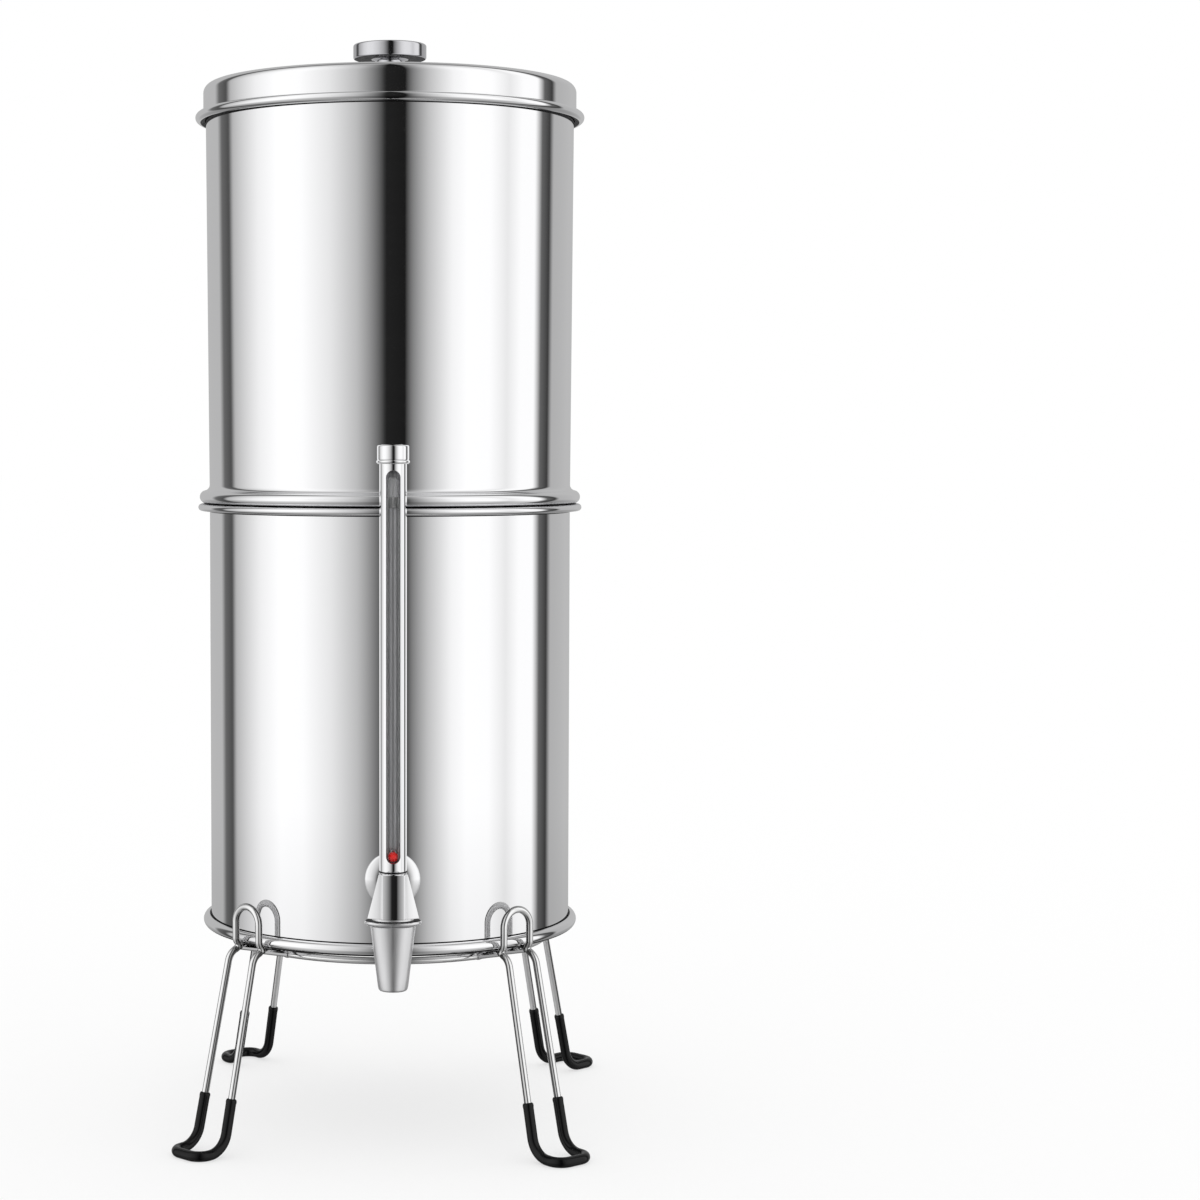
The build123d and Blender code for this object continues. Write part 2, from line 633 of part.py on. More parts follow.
def lever():
    """Flared paddle with a half-round column, hinged behind its top, and a nose on the push rod."""
    height = LEVER_TOP - LEVER_BOTTOM
    low = LEVER_LOW_WIDTH
    corner = LEVER_CORNER
    outline = Polyline((-LEVER_TOP_WIDTH, height), (-low, corner), (-low + corner, 0), (low - corner, 0),
                       (low, corner), (LEVER_TOP_WIDTH, height), close=True)
    front = LEVER_BACK - 4.6
    slab = Plane((0, LEVER_BACK + 1.5, LEVER_BOTTOM), x_dir=(1, 0, 0), z_dir=(0, -1, 0)) * profile(outline)
    slab = extrude(slab, 9.0)
    face_centre = front + LEVER_BOW
    bowed = Pos(0, face_centre, 0) * tube(LEVER_BOW, LEVER_BOW - 3.4, LEVER_BOTTOM - 1, LEVER_TOP + 1)
    column = Pos(0, PIVOT_Y, 0) * rod(LEVER_COLUMN, LEVER_BOTTOM + 1.2, LEVER_TOP)
    column = column & block((-20, 20), (PIVOT_Y - 20, LEVER_BACK), (LEVER_BOTTOM - 1, LEVER_TOP + 1))
    paddle = (slab & bowed) + column
    cheek = block((LUG_OUTER + 0.35, LEVER_TOP_WIDTH), (PIVOT_Y - 3, PIVOT_Y), (PIVOT_Z - 3.5, LEVER_TOP))
    paddle += cheek + mirror(cheek, Plane.YZ)
    pocket = block((-LUG_OUTER - 0.35, LUG_OUTER + 0.35), (PIVOT_Y - LUG_RADIUS - 0.35, PIVOT_Y + 10),
                   (PIVOT_Z - LUG_RADIUS - 1.2, LEVER_TOP + 5))
    paddle -= pocket
    half = LUG_INNER - 0.4
    knuckle = across(LUG_RADIUS, PIVOT_Y, PIVOT_Z, half)
    web = block((-half, half), (PIVOT_Y - LUG_RADIUS - 1, PIVOT_Y), (PIVOT_Z - LUG_RADIUS, PIVOT_Z + LUG_RADIUS))
    nose_z = ROD_TOP + BODY_GAP + NOSE
    nose = across(NOSE, ROD_Y, nose_z, half)
    neck = block((-half, half), (PIVOT_Y, ROD_Y), (nose_z - NOSE, nose_z + NOSE))
    body = paddle + knuckle + web + neck + nose
    return body - across(PIN + PIN_CLEARANCE, PIVOT_Y, PIVOT_Z, 10)


def lever_pin():
    return across(PIN - 0.01, PIVOT_Y, PIVOT_Z, LUG_OUTER)


def valve_rod():
    """Push rod with a flat head under the lever's nose."""
    half = section((0, BODY_BOTTOM - PLUG_HEIGHT + 0.8), (ROD, BODY_BOTTOM - PLUG_HEIGHT + 0.8),
                   (ROD, ROD_TOP - ROD_HEAD_THICK), (ROD_HEAD, ROD_TOP - ROD_HEAD_THICK),
                   (ROD_HEAD, ROD_TOP - 0.4), (ROD_HEAD - 0.4, ROD_TOP), (0, ROD_TOP))
    return Pos(0, ROD_Y, 0) * turned(half)


def valve_plug():
    """Silicone cup on the rod's end, closed up against the seat."""
    top = BODY_BOTTOM - 0.05
    low = top - PLUG_HEIGHT
    half = section((0, low), (PLUG_RADIUS - 1.2, low), (PLUG_RADIUS, low + 1.2), (PLUG_RADIUS, top),
                   (ROD + 0.02, top), (ROD + 0.02, low + 0.8), (0, low + 0.8))
    return Pos(0, ROD_Y, 0) * turned(half)


def valve_spring():
    """Return spring round the rod, between the guide and the rod's head."""
    low = SPRING_SEAT + SPRING_WIRE
    high = ROD_TOP - ROD_HEAD_THICK - SPRING_WIRE
    coil_radius = ROD + SPRING_WIRE + 0.35
    coil = Helix(pitch=(high - low) / SPRING_TURNS, height=high - low, radius=coil_radius)
    wire = sweep(Plane(coil @ 0, z_dir=coil % 0) * Circle(SPRING_WIRE), path=coil, is_frenet=True)
    return Pos(0, ROD_Y, low) * wire


def rod_seal():
    return Pos(0, ROD_Y, WET_TOP + 1.4) * Torus(ROD + 0.72, 0.7)


# ---- sight gauge ----
def gauge_housing():
    """Slotted tube that guards the clear tube."""
    wall = tube(GAUGE_RADIUS, GAUGE_BORE, GAUGE_BOTTOM, GAUGE_TOP)
    length = SLOT_TOP - SLOT_BOTTOM
    slot = extrude(SlotOverall(length, 2 * SLOT_HALF, rotation=90), GAUGE_RADIUS + 2)
    face = Plane((0, 0, (SLOT_TOP + SLOT_BOTTOM) / 2), x_dir=(1, 0, 0), z_dir=(0, -1, 0))
    return at_tap(wall - face * slot)


def gauge_tube():
    return at_tap(tube(TUBE_OUTER, TUBE_INNER, TUBE_BOTTOM, TUBE_TOP))


def gauge_seal():
    low = TUBE_BOTTOM - 1.2
    return at_tap(tube(GAUGE_BORE - 0.03, TUBE_OUTER + 0.01, low + 0.02, TUBE_BOTTOM + 0.6)
                  + tube(GAUGE_BORE - 0.03, 1.8, low + 0.02, TUBE_BOTTOM - 0.02))


def vent_plug():
    """Domed stopper in the clear tube's top, with a vent through it."""
    low = TUBE_TOP - 5.8
    shaft = TUBE_INNER - 0.02
    dome = VENT_RADIUS - 0.6
    half = profile(
        Polyline((0.6, low), (shaft, low), (shaft, TUBE_TOP + 0.05), (VENT_RADIUS, TUBE_TOP + 0.05),
                 (VENT_RADIUS, VENT_TOP - dome)),
        arc((VENT_RADIUS, VENT_TOP - dome), (VENT_RADIUS - 0.7, VENT_TOP - 0.7), (0.6, VENT_TOP)),
        Line((0.6, VENT_TOP), (0.6, low)),
    )
    return at_tap(turned(half))


def gauge_cap():
    """Screw cap over the housing's top, with a bead round its skirt."""
    edge = 1.0
    inner = GAUGE_RADIUS + 0.03
    half = profile(
        Line((inner, CAP_BOTTOM), (CAP_RING - 0.6, CAP_BOTTOM)),
        arc((CAP_RING - 0.6, CAP_BOTTOM), (CAP_RING, CAP_BOTTOM + 1.15), (CAP_RING - 0.6, CAP_BOTTOM + 2.3)),
        Polyline((CAP_RING - 0.6, CAP_BOTTOM + 2.3), (CAP_RADIUS, CAP_BOTTOM + 2.6),
                 (CAP_RADIUS, CAP_TOP - edge)),
        quarter((CAP_RADIUS - edge, CAP_TOP - edge), edge, 0, 90),
        Polyline((CAP_RADIUS - edge, CAP_TOP), (0, CAP_TOP), (0, GAUGE_TOP + 0.05), (inner, GAUGE_TOP + 0.05),
                 (inner, CAP_BOTTOM)),
    )
    return at_tap(turned(half))


def float_ball():
    return at_tap(Pos(0, 0, BALL_Z) * Sphere(BALL))


# ---- all nodes ----
nodes = {
    "lid_shell": lid_shell(),
    "lid_knob": lid_knob(),
    "knob_washer": knob_washer(),
    "knob_screw": knob_screw(),
    "upper_chamber": upper_chamber(),
    "lower_chamber": lower_chamber(),
    "support_ring": support_ring(),
    "valve_body": valve_body(),
    "escutcheon": escutcheon(),
    "outer_washer": outer_washer(),
    "inner_washer": inner_washer(),
    "lock_nut": lock_nut(),
    "nozzle": nozzle(),
    "lever": lever(),
    "lever_pin": lever_pin(),
    "valve_rod": valve_rod(),
    "valve_plug": valve_plug(),
    "valve_spring": valve_spring(),
    "rod_seal": rod_seal(),
    "gauge_housing": gauge_housing(),
    "gauge_tube": gauge_tube(),
    "gauge_seal": gauge_seal(),
    "vent_plug": vent_plug(),
    "gauge_cap": gauge_cap(),
    "float_ball": float_ball(),
}
for place, (angle, foot_reach, sleeve_top) in LEGS.items():
    nodes["leg_" + place] = leg_wire(angle, foot_reach)
    nodes["foot_" + place] = foot_sleeve(angle, foot_reach, sleeve_top)
for place, side in (("left", -1), ("right", 1)):
    on_stem = Pos(side * STEM_OFFSET, 0, 0)
    nodes["carbon_block_" + place] = on_stem * carbon_block()
    nodes["carbon_top_cap_" + place] = on_stem * carbon_top_cap()
    nodes["carbon_bottom_cap_" + place] = on_stem * carbon_bottom_cap()
    nodes["element_seal_" + place] = on_stem * element_seal()
    nodes["wing_nut_" + place] = on_stem * wing_nut()
    nodes["fluoride_cap_" + place] = on_stem * fluoride_cap()
    nodes["fluoride_cup_" + place] = on_stem * fluoride_cup()
    nodes["fluoride_media_" + place] = on_stem * fluoride_media()

os.makedirs("parts", exist_ok=True)
for name, shape in nodes.items():
    export_step(shape, f"parts/{name}.step")
print(len(nodes), "nodes written")
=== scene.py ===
# %% [markdown]
# # A gravity water filter on a wire stand
# Two mirror-polished steel chambers stand one on the other, with a tap and a sight gauge in front.
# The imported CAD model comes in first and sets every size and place. What shines is then modelled
# again over it with finer curves, because a mirror shows each facet of a coarse mesh. The solids
# that are hidden inside stay as they are, and get a finish of their own.

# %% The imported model
from math import asin, atan2, ceil, cos, degrees, hypot, pi, radians, sin, sqrt

import bmesh
import bpy
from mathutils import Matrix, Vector


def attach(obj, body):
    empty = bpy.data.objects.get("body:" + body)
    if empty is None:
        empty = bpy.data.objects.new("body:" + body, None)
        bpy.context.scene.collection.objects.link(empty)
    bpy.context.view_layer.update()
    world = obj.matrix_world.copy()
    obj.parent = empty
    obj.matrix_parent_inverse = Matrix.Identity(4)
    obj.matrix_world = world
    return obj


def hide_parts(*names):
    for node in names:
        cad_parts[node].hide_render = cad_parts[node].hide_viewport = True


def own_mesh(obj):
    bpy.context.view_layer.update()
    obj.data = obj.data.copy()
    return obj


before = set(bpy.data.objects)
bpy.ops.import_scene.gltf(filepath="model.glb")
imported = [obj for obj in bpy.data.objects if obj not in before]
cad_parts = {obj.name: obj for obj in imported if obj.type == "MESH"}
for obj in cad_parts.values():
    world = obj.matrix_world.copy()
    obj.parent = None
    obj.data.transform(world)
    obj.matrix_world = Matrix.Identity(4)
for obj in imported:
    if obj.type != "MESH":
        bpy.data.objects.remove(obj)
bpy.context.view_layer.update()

MM = 0.001  # the drawing sizes below are millimetres, and Blender's are metres

# %% [markdown]
# ## The camera
# A tall, narrow object is best seen from a little above its middle, through a long lens that keeps
# its sides upright. The shift moves the tower to the left of the frame without turning the camera,
# so that nothing leans.

# %% Camera
bpy.ops.object.select_all(action="DESELECT")
camera_data = bpy.data.cameras.new("camera")
camera = bpy.data.objects.new("camera", camera_data)
bpy.context.scene.collection.objects.link(camera)
camera.location = (-0.02224, -1.59285, 0.408)
camera.rotation_euler = (radians(90 - 3.55), 0, radians(-0.8))
camera_data.lens = 79.65
camera_data.sensor_width = 36
camera_data.shift_x = 0.1751
bpy.context.scene.camera = camera
print("camera at", tuple(round(v, 3) for v in camera.location))

# %% [markdown]
# ## Colours and nodes
# A web colour such as #8A8A8C is written in sRGB, which stretches the dark end for the eye. A
# shader works in linear light, so each colour goes through one function. A second one adds a
# shader node and joins it up: a number or colour sets a socket, and another node's output is
# linked to it.

# %% Colour and node helpers
def linear(code):
    """The linear colour of an sRGB hex code."""
    parts = [int(code[place:place + 2], 16) / 255 for place in (1, 3, 5)]
    parts = [part / 12.92 if part <= 0.04045 else ((part + 0.055) / 1.055) ** 2.4 for part in parts]
    return [*parts, 1]


def add_node(tree, kind, inputs, **settings):
    """Add a node, set its settings, and set or link its inputs."""
    made = tree.nodes.new(kind)
    for key, value in settings.items():
        setattr(made, key, value)
    for socket, value in inputs.items():
        if isinstance(value, bpy.types.NodeSocket):
            tree.links.new(value, made.inputs[socket])
        else:
            made.inputs[socket].default_value = value
    return made


print("steel grey in linear light:", [round(part, 3) for part in linear("#8A8A8C")[:3]])

# %% [markdown]
# ## The studio
# A mirror has no colour of its own: what it shows is the room. A bottle or a pan is lit in a white
# tent, with black cards that draw dark upright lines in it, and its edges reflect the darker back
# of the room. Cards could be planes round the object, but painted on the world they stay the same
# at every height. The first table is that tent: a direction round the object, where 0 is the tap's
# side and 90 the right, and how bright the tent is there. The second dims it by the angle above or
# below the level. Only reflections see it. The camera and matt surfaces see plain white.

# %% Tent and white surround
TENT = [
    (-180, 0.45), (-136, 0.45), (-130, 0.13), (-120, 0.07), (-115, 0.45), (-90, 0.86), (-74, 1.0),
    (-57, 0.98), (-38, 0.78), (-21, 0.49), (-10, 0.19), (-3.5, 0.015), (8.5, 0.01), (13, 0.2),
    (23, 0.52), (38, 0.89), (48, 0.99), (64, 0.98), (77, 0.8), (88, 0.97), (101, 0.97),
    (108, 0.12), (117, 0.04), (122, 0.42), (150, 0.47), (180, 0.45),
]
TENT_HEIGHT = [
    (-90, 0.34), (-60, 0.34), (-36, 0.48), (-20, 0.66), (-12, 0.84), (-8, 1.0), (34, 1.0),
    (52, 0.92), (66, 0.66), (80, 0.48), (90, 0.5),
]
TENT_STRENGTH = 1.08
world = bpy.data.worlds.new("white_tent")
bpy.context.scene.world = world
world.use_nodes = True
tree = world.node_tree
tree.nodes.clear()
direction = add_node(tree, "ShaderNodeSeparateXYZ", {
    0: add_node(tree, "ShaderNodeTexCoord", {}).outputs["Generated"]})
toward_front = add_node(tree, "ShaderNodeMath", {0: direction.outputs["Y"], 1: -1.0},
                        operation="MULTIPLY")
bearing = add_node(tree, "ShaderNodeMath", {0: direction.outputs["X"], 1: toward_front.outputs[0]},
                   operation="ARCTAN2")
round_share = add_node(tree, "ShaderNodeMapRange", {
    "Value": bearing.outputs[0], "From Min": -pi, "From Max": pi})
height_share = add_node(tree, "ShaderNodeMapRange", {
    "Value": direction.outputs["Z"], "From Min": -1.0, "From Max": 1.0})


def set_levels(ramp, stops):
    """Give a colour ramp its stops, each a share from 0 to 1 and a grey level."""
    elements = ramp.color_ramp.elements
    for place, (share, level) in enumerate(stops):
        stop = elements[place] if place < 2 else elements.new(share)
        stop.position = share
        stop.color = (level, level, level, 1)


around = add_node(tree, "ShaderNodeValToRGB", {0: round_share.outputs[0]})
set_levels(around, [((angle + 180) / 360, level) for angle, level in TENT])
upward = add_node(tree, "ShaderNodeValToRGB", {0: height_share.outputs[0]})
set_levels(upward, [((sin(radians(angle)) + 1) / 2, level) for angle, level in TENT_HEIGHT])
tent = add_node(tree, "ShaderNodeMix", {0: 1.0, 6: around.outputs[0], 7: upward.outputs[0]},
                data_type="RGBA", blend_type="MULTIPLY")
tent_light = add_node(tree, "ShaderNodeBackground", {
    "Color": tent.outputs[2], "Strength": TENT_STRENGTH})
plain_white = add_node(tree, "ShaderNodeBackground", {"Color": (1, 1, 1, 1), "Strength": 1.0})
path = add_node(tree, "ShaderNodeLightPath", {})
seen = add_node(tree, "ShaderNodeMixShader", {
    0: path.outputs["Is Glossy Ray"], 1: plain_white.outputs[0], 2: tent_light.outputs[0]})
add_node(tree, "ShaderNodeOutputWorld", {"Surface": seen.outputs[0]})
bpy.context.scene.view_settings.view_transform = "Standard"
print(len(TENT), "bearings in the tent")

# %% [markdown]
# ## The floor
# A wide white floor carries the feet and takes their soft shadow. To the camera, part of its white
# is a glow that no shadow dims, so the shadow stays light and the far edge disappears into the
# surround. The steel looks past the floor into the tent.

# %% Floor
FLOOR_RADIUS, FLOOR_SPREAD, FLOOR_GLOW = 1.2, 20, 0.6
bpy.ops.object.select_all(action="DESELECT")
bpy.ops.mesh.primitive_circle_add(vertices=96, radius=FLOOR_RADIUS, fill_type="NGON",
                                  location=(0, 0, 0))
floor = bpy.context.object
floor.name = "floor"
bpy.ops.object.mode_set(mode="EDIT")
bpy.ops.mesh.select_mode(type="EDGE")
bpy.ops.mesh.select_all(action="SELECT")
bpy.ops.mesh.region_to_loop()
bpy.ops.mesh.extrude_region_move()
bpy.ops.transform.resize(value=(FLOOR_SPREAD, FLOOR_SPREAD, 1))
bpy.ops.mesh.select_all(action="SELECT")
bpy.ops.mesh.normals_make_consistent(inside=False)
bpy.ops.object.mode_set(mode="OBJECT")
floor_paint = bpy.data.materials.new("matt_white_floor")
floor_paint.use_nodes = True
tree = floor_paint.node_tree
tree.nodes.clear()
matt = add_node(tree, "ShaderNodeBsdfDiffuse", {"Color": (1, 1, 1, 1)})
white = add_node(tree, "ShaderNodeEmission", {"Color": (1, 1, 1, 1), "Strength": 1.0})
path = add_node(tree, "ShaderNodeLightPath", {})
share = add_node(tree, "ShaderNodeMath", {0: path.outputs["Is Camera Ray"], 1: FLOOR_GLOW},
                 operation="MULTIPLY")
mixed = add_node(tree, "ShaderNodeMixShader", {
    0: share.outputs[0], 1: matt.outputs[0], 2: white.outputs[0]})
add_node(tree, "ShaderNodeOutputMaterial", {"Surface": mixed.outputs[0]})
floor.data.materials.append(floor_paint)
floor.visible_glossy = False
print("floor", [round(v, 1) for v in floor.dimensions])

# %% [markdown]
# ## Finishes
# Each finish starts from what the surface is and how it was made. They all read Object
# coordinates, which are real metres on these pieces, so that a grain of 0.4 mm stays 0.4 mm. One
# function lays the common ground: a Principled shader whose roughness wanders between two values
# with a noise of a given size, and a bump from a second, finer noise.

# %% Finish helper
PATCH = 12  # the roughness wanders over patches that are this many grains wide


def finish(name, colour, rough, grain_mm, bump_mm, stretch=(1, 1, 1), wear=None, **shader):
    """A named finish: a base colour, a range of roughness, and a grain of a real size."""
    paint = bpy.data.materials.new(name)
    paint.use_nodes = True
    tree = paint.node_tree
    tree.nodes.clear()
    place = add_node(tree, "ShaderNodeTexCoord", {})
    along = add_node(tree, "ShaderNodeMapping", {
        "Vector": place.outputs["Object"], "Scale": stretch})
    patches = add_node(tree, "ShaderNodeTexNoise", {
        "Vector": along.outputs[0], "Scale": 1 / (PATCH * grain_mm * MM), "Detail": 3.0})
    rough_map = add_node(tree, "ShaderNodeMapRange", {
        "Value": patches.outputs["Fac"], "From Min": 0.3, "From Max": 0.7,
        "To Min": rough[0], "To Max": rough[1]})
    grain = add_node(tree, "ShaderNodeTexNoise", {
        "Vector": along.outputs[0], "Scale": 1 / (grain_mm * MM), "Detail": 2.0})
    relief = add_node(tree, "ShaderNodeBump", {
        "Height": grain.outputs["Fac"], "Distance": bump_mm * MM, "Strength": 1.0})
    body = add_node(tree, "ShaderNodeBsdfPrincipled", {
        "Roughness": rough_map.outputs[0], "Normal": relief.outputs[0]})
    for socket, value in shader.items():
        body.inputs[socket.replace("_", " ")].default_value = value
    if wear:
        tone = add_node(tree, "ShaderNodeMix", {
            0: patches.outputs["Fac"], 6: linear(colour), 7: linear(wear)}, data_type="RGBA")
        tree.links.new(tone.outputs[2], body.inputs["Base Color"])
    else:
        body.inputs["Base Color"].default_value = linear(colour)
    add_node(tree, "ShaderNodeOutputMaterial", {"Surface": body.outputs[0]})
    return paint


# %% [markdown]
# The chambers and lid are stainless steel, spun on a former and then buffed to a mirror. The buff
# runs round the work and leaves very fine level lines. They are drawn coarser than they are, 0.4 mm
# apart and almost flat. The drawn steel inside is duller. Narrow creases, gaps and undersides are
# painted a dark grey, as painted shade. The knob is turned from bar, a little less bright than the
# sheet. Chrome on the tap is harder and clearer still, and its nozzle is only satin. The stand is
# chromed wire. A stretch below 1 draws a grain out along that direction.

# %% Metals
level_lines, upright_lines, short_lines = (0.02, 0.02, 1), (1, 1, 0.2), (1, 1, 0.1)
mirror_steel = finish("buffed_stainless_steel", "#F8F8F9", (0.02, 0.05), 0.4, 0.00002,
                      level_lines, Metallic=1.0)
drawn_steel = finish("drawn_stainless_steel", "#E2E2E4", (0.34, 0.44), 0.3, 0.0006,
                     upright_lines, Metallic=1.0)
chrome = finish("polished_chrome", "#F6F6F7", (0.02, 0.05), 0.5, 0.00002, Metallic=1.0)
satin_chrome = finish("satin_chrome", "#F4F4F5", (0.32, 0.4), 0.15, 0.0002,
                      short_lines, Metallic=1.0)
chromed_wire_and_shade = finish("chromed_wire_and_shade", "#F2F2F4", (0.04, 0.08), 0.6, 0.0002, Metallic=1.0)
# Painted shade: a dark grey metal that stands in for the shade in creases, gaps and undersides.
painted_shade_steel = finish("painted_crease_shade", "#29292B", (0.42, 0.55), 0.25, 0.002,
                        upright_lines, Metallic=1.0)
turned_steel = finish("turned_stainless_steel", "#D6D6D9", (0.04, 0.08), 0.4, 0.00004,
                      level_lines, Metallic=1.0)
print("seven metal finishes")

# %% [markdown]
# The wire's tone is painted shade. Its flanks are painted dark, and both the side that faces out
# and the side that faces the middle stay pale, the middle side rougher. The surface normal is
# compared with the level direction away from the axis, from -1 for inward to 1 for outward, and a
# ramp gives each its tone.

# %% Painted shade round the wire
# Painted shade: the dark middle of this ramp darkens the wire's flanks.
WIRE_SHADE_TONES = [(0, 0.95), (0.3, 0.9), (0.44, 0.1), (0.62, 0.08), (0.8, 0.88), (1, 0.92)]
DULL = 0.6
tree = chromed_wire_and_shade.node_tree
body = tree.nodes["Principled BSDF"]
rough_map = body.inputs["Roughness"].links[0].from_node
place = add_node(tree, "ShaderNodeTexCoord", {})
level = add_node(tree, "ShaderNodeVectorMath", {0: place.outputs["Object"], 1: (1, 1, 0)},
                 operation="MULTIPLY")
away = add_node(tree, "ShaderNodeVectorMath", {0: level.outputs[0]}, operation="NORMALIZE")
facing = add_node(tree, "ShaderNodeVectorMath", {0: away.outputs[0], 1: place.outputs["Normal"]},
                  operation="DOT_PRODUCT")
outward = add_node(tree, "ShaderNodeMapRange", {
    "Value": facing.outputs["Value"], "From Min": -1.0, "From Max": 1.0})
wire_shade = add_node(tree, "ShaderNodeValToRGB", {0: outward.outputs[0]})
set_levels(wire_shade, WIRE_SHADE_TONES)
tree.links.new(wire_shade.outputs[0], body.inputs["Base Color"])
glossy = add_node(tree, "ShaderNodeMapRange", {
    "Value": outward.outputs[0], "From Min": 0.3, "From Max": 0.5})
gloss = add_node(tree, "ShaderNodeMix", {0: glossy.outputs[0], 2: DULL, 3: rough_map.outputs[0]})
tree.links.new(gloss.outputs[0], body.inputs["Roughness"])
print("plating tones", [tone for _, tone in WIRE_SHADE_TONES])

# %% [markdown]
# The feet are dipped in liquid vinyl, which sets black and slightly uneven. The gauge is a clear
# acrylic tube with a red float. Silicone is milky, and mouldings have a fine spark-eroded texture.
# The pressed carbon is covered with a fine wrap, so its grain is the deepest.

# %% Plastics and fillings
dipped_vinyl = finish("dipped_black_vinyl", "#080809", (0.16, 0.24), 1.2, 0.02, IOR=1.53,
                      Specular_IOR_Level=0.25)
milky_silicone = finish("milky_silicone", "#E3E9F1", (0.3, 0.42), 0.4, 0.002, IOR=1.41,
                        Transmission_Weight=0.45)
clear_acrylic = finish("clear_acrylic", "#F4F5F5", (0.02, 0.05), 0.8, 0.0002, IOR=1.49)
pale_plastic = finish("pale_moulded_plastic", "#E9E9E6", (0.12, 0.2), 0.3, 0.001, IOR=1.5)
red_plastic = finish("glossy_red_plastic", "#FF0C06", (0.16, 0.24), 0.3, 0.0006, IOR=1.5,
                     Specular_IOR_Level=0.2)
black_moulding = finish("satin_black_moulding", "#121213", (0.4, 0.55), 0.35, 0.006, IOR=1.5)
white_moulding = finish("white_polypropylene", "#F2F2F2", (0.28, 0.4), 0.35, 0.003, IOR=1.49)
wrapped_carbon = finish("wrapped_carbon", "#17181A", (0.8, 0.95), 0.55, 0.09, wear="#26272A",
                        IOR=1.5)
mineral_media = finish("mineral_grains", "#E6E1D5", (0.7, 0.9), 1.1, 0.35, wear="#BFB8A8",
                       IOR=1.55)
print("nine other finishes")

# %% [markdown]
# The clear tube is thin, and what matters is what shows through it: the float, and the dark bore
# behind. It is drawn as a thin clear wall, nearly see-through where one looks straight into it and
# denser towards its edges, where the eye looks along the plastic. The stopper is solid, so it gets
# a denser copy.

# %% Clear wall
thick_acrylic = clear_acrylic.copy()
thick_acrylic.name = "thick_clear_acrylic"
for paint, least, most in ((clear_acrylic, 0.02, 0.85), (thick_acrylic, 0.1, 1.0)):
    tree = paint.node_tree
    slant = add_node(tree, "ShaderNodeLayerWeight", {"Blend": 0.5})
    density = add_node(tree, "ShaderNodeMapRange", {
        "Value": slant.outputs["Facing"], "From Min": 0.3, "From Max": 0.97,
        "To Min": least, "To Max": most})
    tree.links.new(density.outputs[0], tree.nodes["Principled BSDF"].inputs["Alpha"])
    print(paint.name, "has a density from", least, "to", most)

# %% [markdown]
# ## Turned shapes
# Nearly every shiny part here is turned or spun: its shape is one half section, taken round an
# axis. By hand that is a vertex, extruded from point to point along the section, and then Spin.
# Small helpers do it: one selects a single object, one draws the line, one merges the seam and
# poles and turns the faces outwards, and one spins. The last one hands a finished piece over.

# %% Drawing and turning
MICRON = 1e-6  # vertices that lie nearer than this are one
SMOOTH_ANGLE = 34


def lone(piece):
    """Select one object and nothing else."""
    bpy.ops.object.select_all(action="DESELECT")
    piece.select_set(True)
    bpy.context.view_layer.objects.active = piece


def draw(name, points):
    """A line of vertices through the points, and the object stays in edit mode."""
    bpy.ops.object.select_all(action="DESELECT")
    bpy.ops.mesh.primitive_plane_add(size=MM, location=(0, 0, 0))
    piece = bpy.context.object
    piece.name = piece.data.name = name
    bpy.ops.object.mode_set(mode="EDIT")
    bpy.ops.mesh.select_mode(type="VERT")
    bpy.ops.mesh.select_all(action="SELECT")
    bpy.ops.mesh.merge(type="CENTER")
    places = [Vector(point) * MM for point in points]
    bpy.ops.transform.translate(value=places[0])
    for here, there in zip(places, places[1:]):
        bpy.ops.mesh.extrude_region_move(TRANSFORM_OT_translate={"value": there - here})
    return piece


def close_mesh():
    """In edit mode, merge what meets, turn the faces outwards, and leave edit mode."""
    bpy.ops.mesh.select_all(action="SELECT")
    bpy.ops.mesh.remove_doubles(threshold=MICRON)
    bpy.ops.mesh.normals_make_consistent(inside=False)
    bpy.ops.object.mode_set(mode="OBJECT")


def turn(name, points, centre=(0, 0, 0), axis=(0, 0, 1), steps=192):
    """Spin a closed section once round an axis."""
    piece = draw(name, points)
    bpy.ops.mesh.select_all(action="SELECT")
    bpy.ops.mesh.spin(steps=steps, angle=2 * pi, center=Vector(centre) * MM, axis=axis)
    close_mesh()
    return piece


def arc(centre, radius, start, end, step=10):
    """Points on an arc in a section, from one angle to another in degrees."""
    count = max(2, ceil(abs(end - start) / step))
    angles = [radians(start + (end - start) * place / count) for place in range(count + 1)]
    return [(centre[0] + radius * cos(angle), centre[1] + radius * sin(angle)) for angle in angles]


def upright(section, y=0):
    """A section of radius and height, closed, as points beside an upright axis."""
    return [(across, y, height) for across, height in [*section, section[0]]]


def fit(piece, body, slot, paint, *nodes):
    """Shade a finished piece, paint it, and let it ride in the place of its CAD nodes."""
    lone(piece)
    bpy.ops.object.shade_smooth_by_angle(angle=radians(SMOOTH_ANGLE))
    piece.data.materials.clear()
    piece.data.materials.append(paint)
    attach(piece, body)
    if nodes:
        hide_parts(*nodes)
    print(piece.name, len(piece.data.polygons), "faces, in place of", ", ".join(nodes) or "nothing")
    return piece
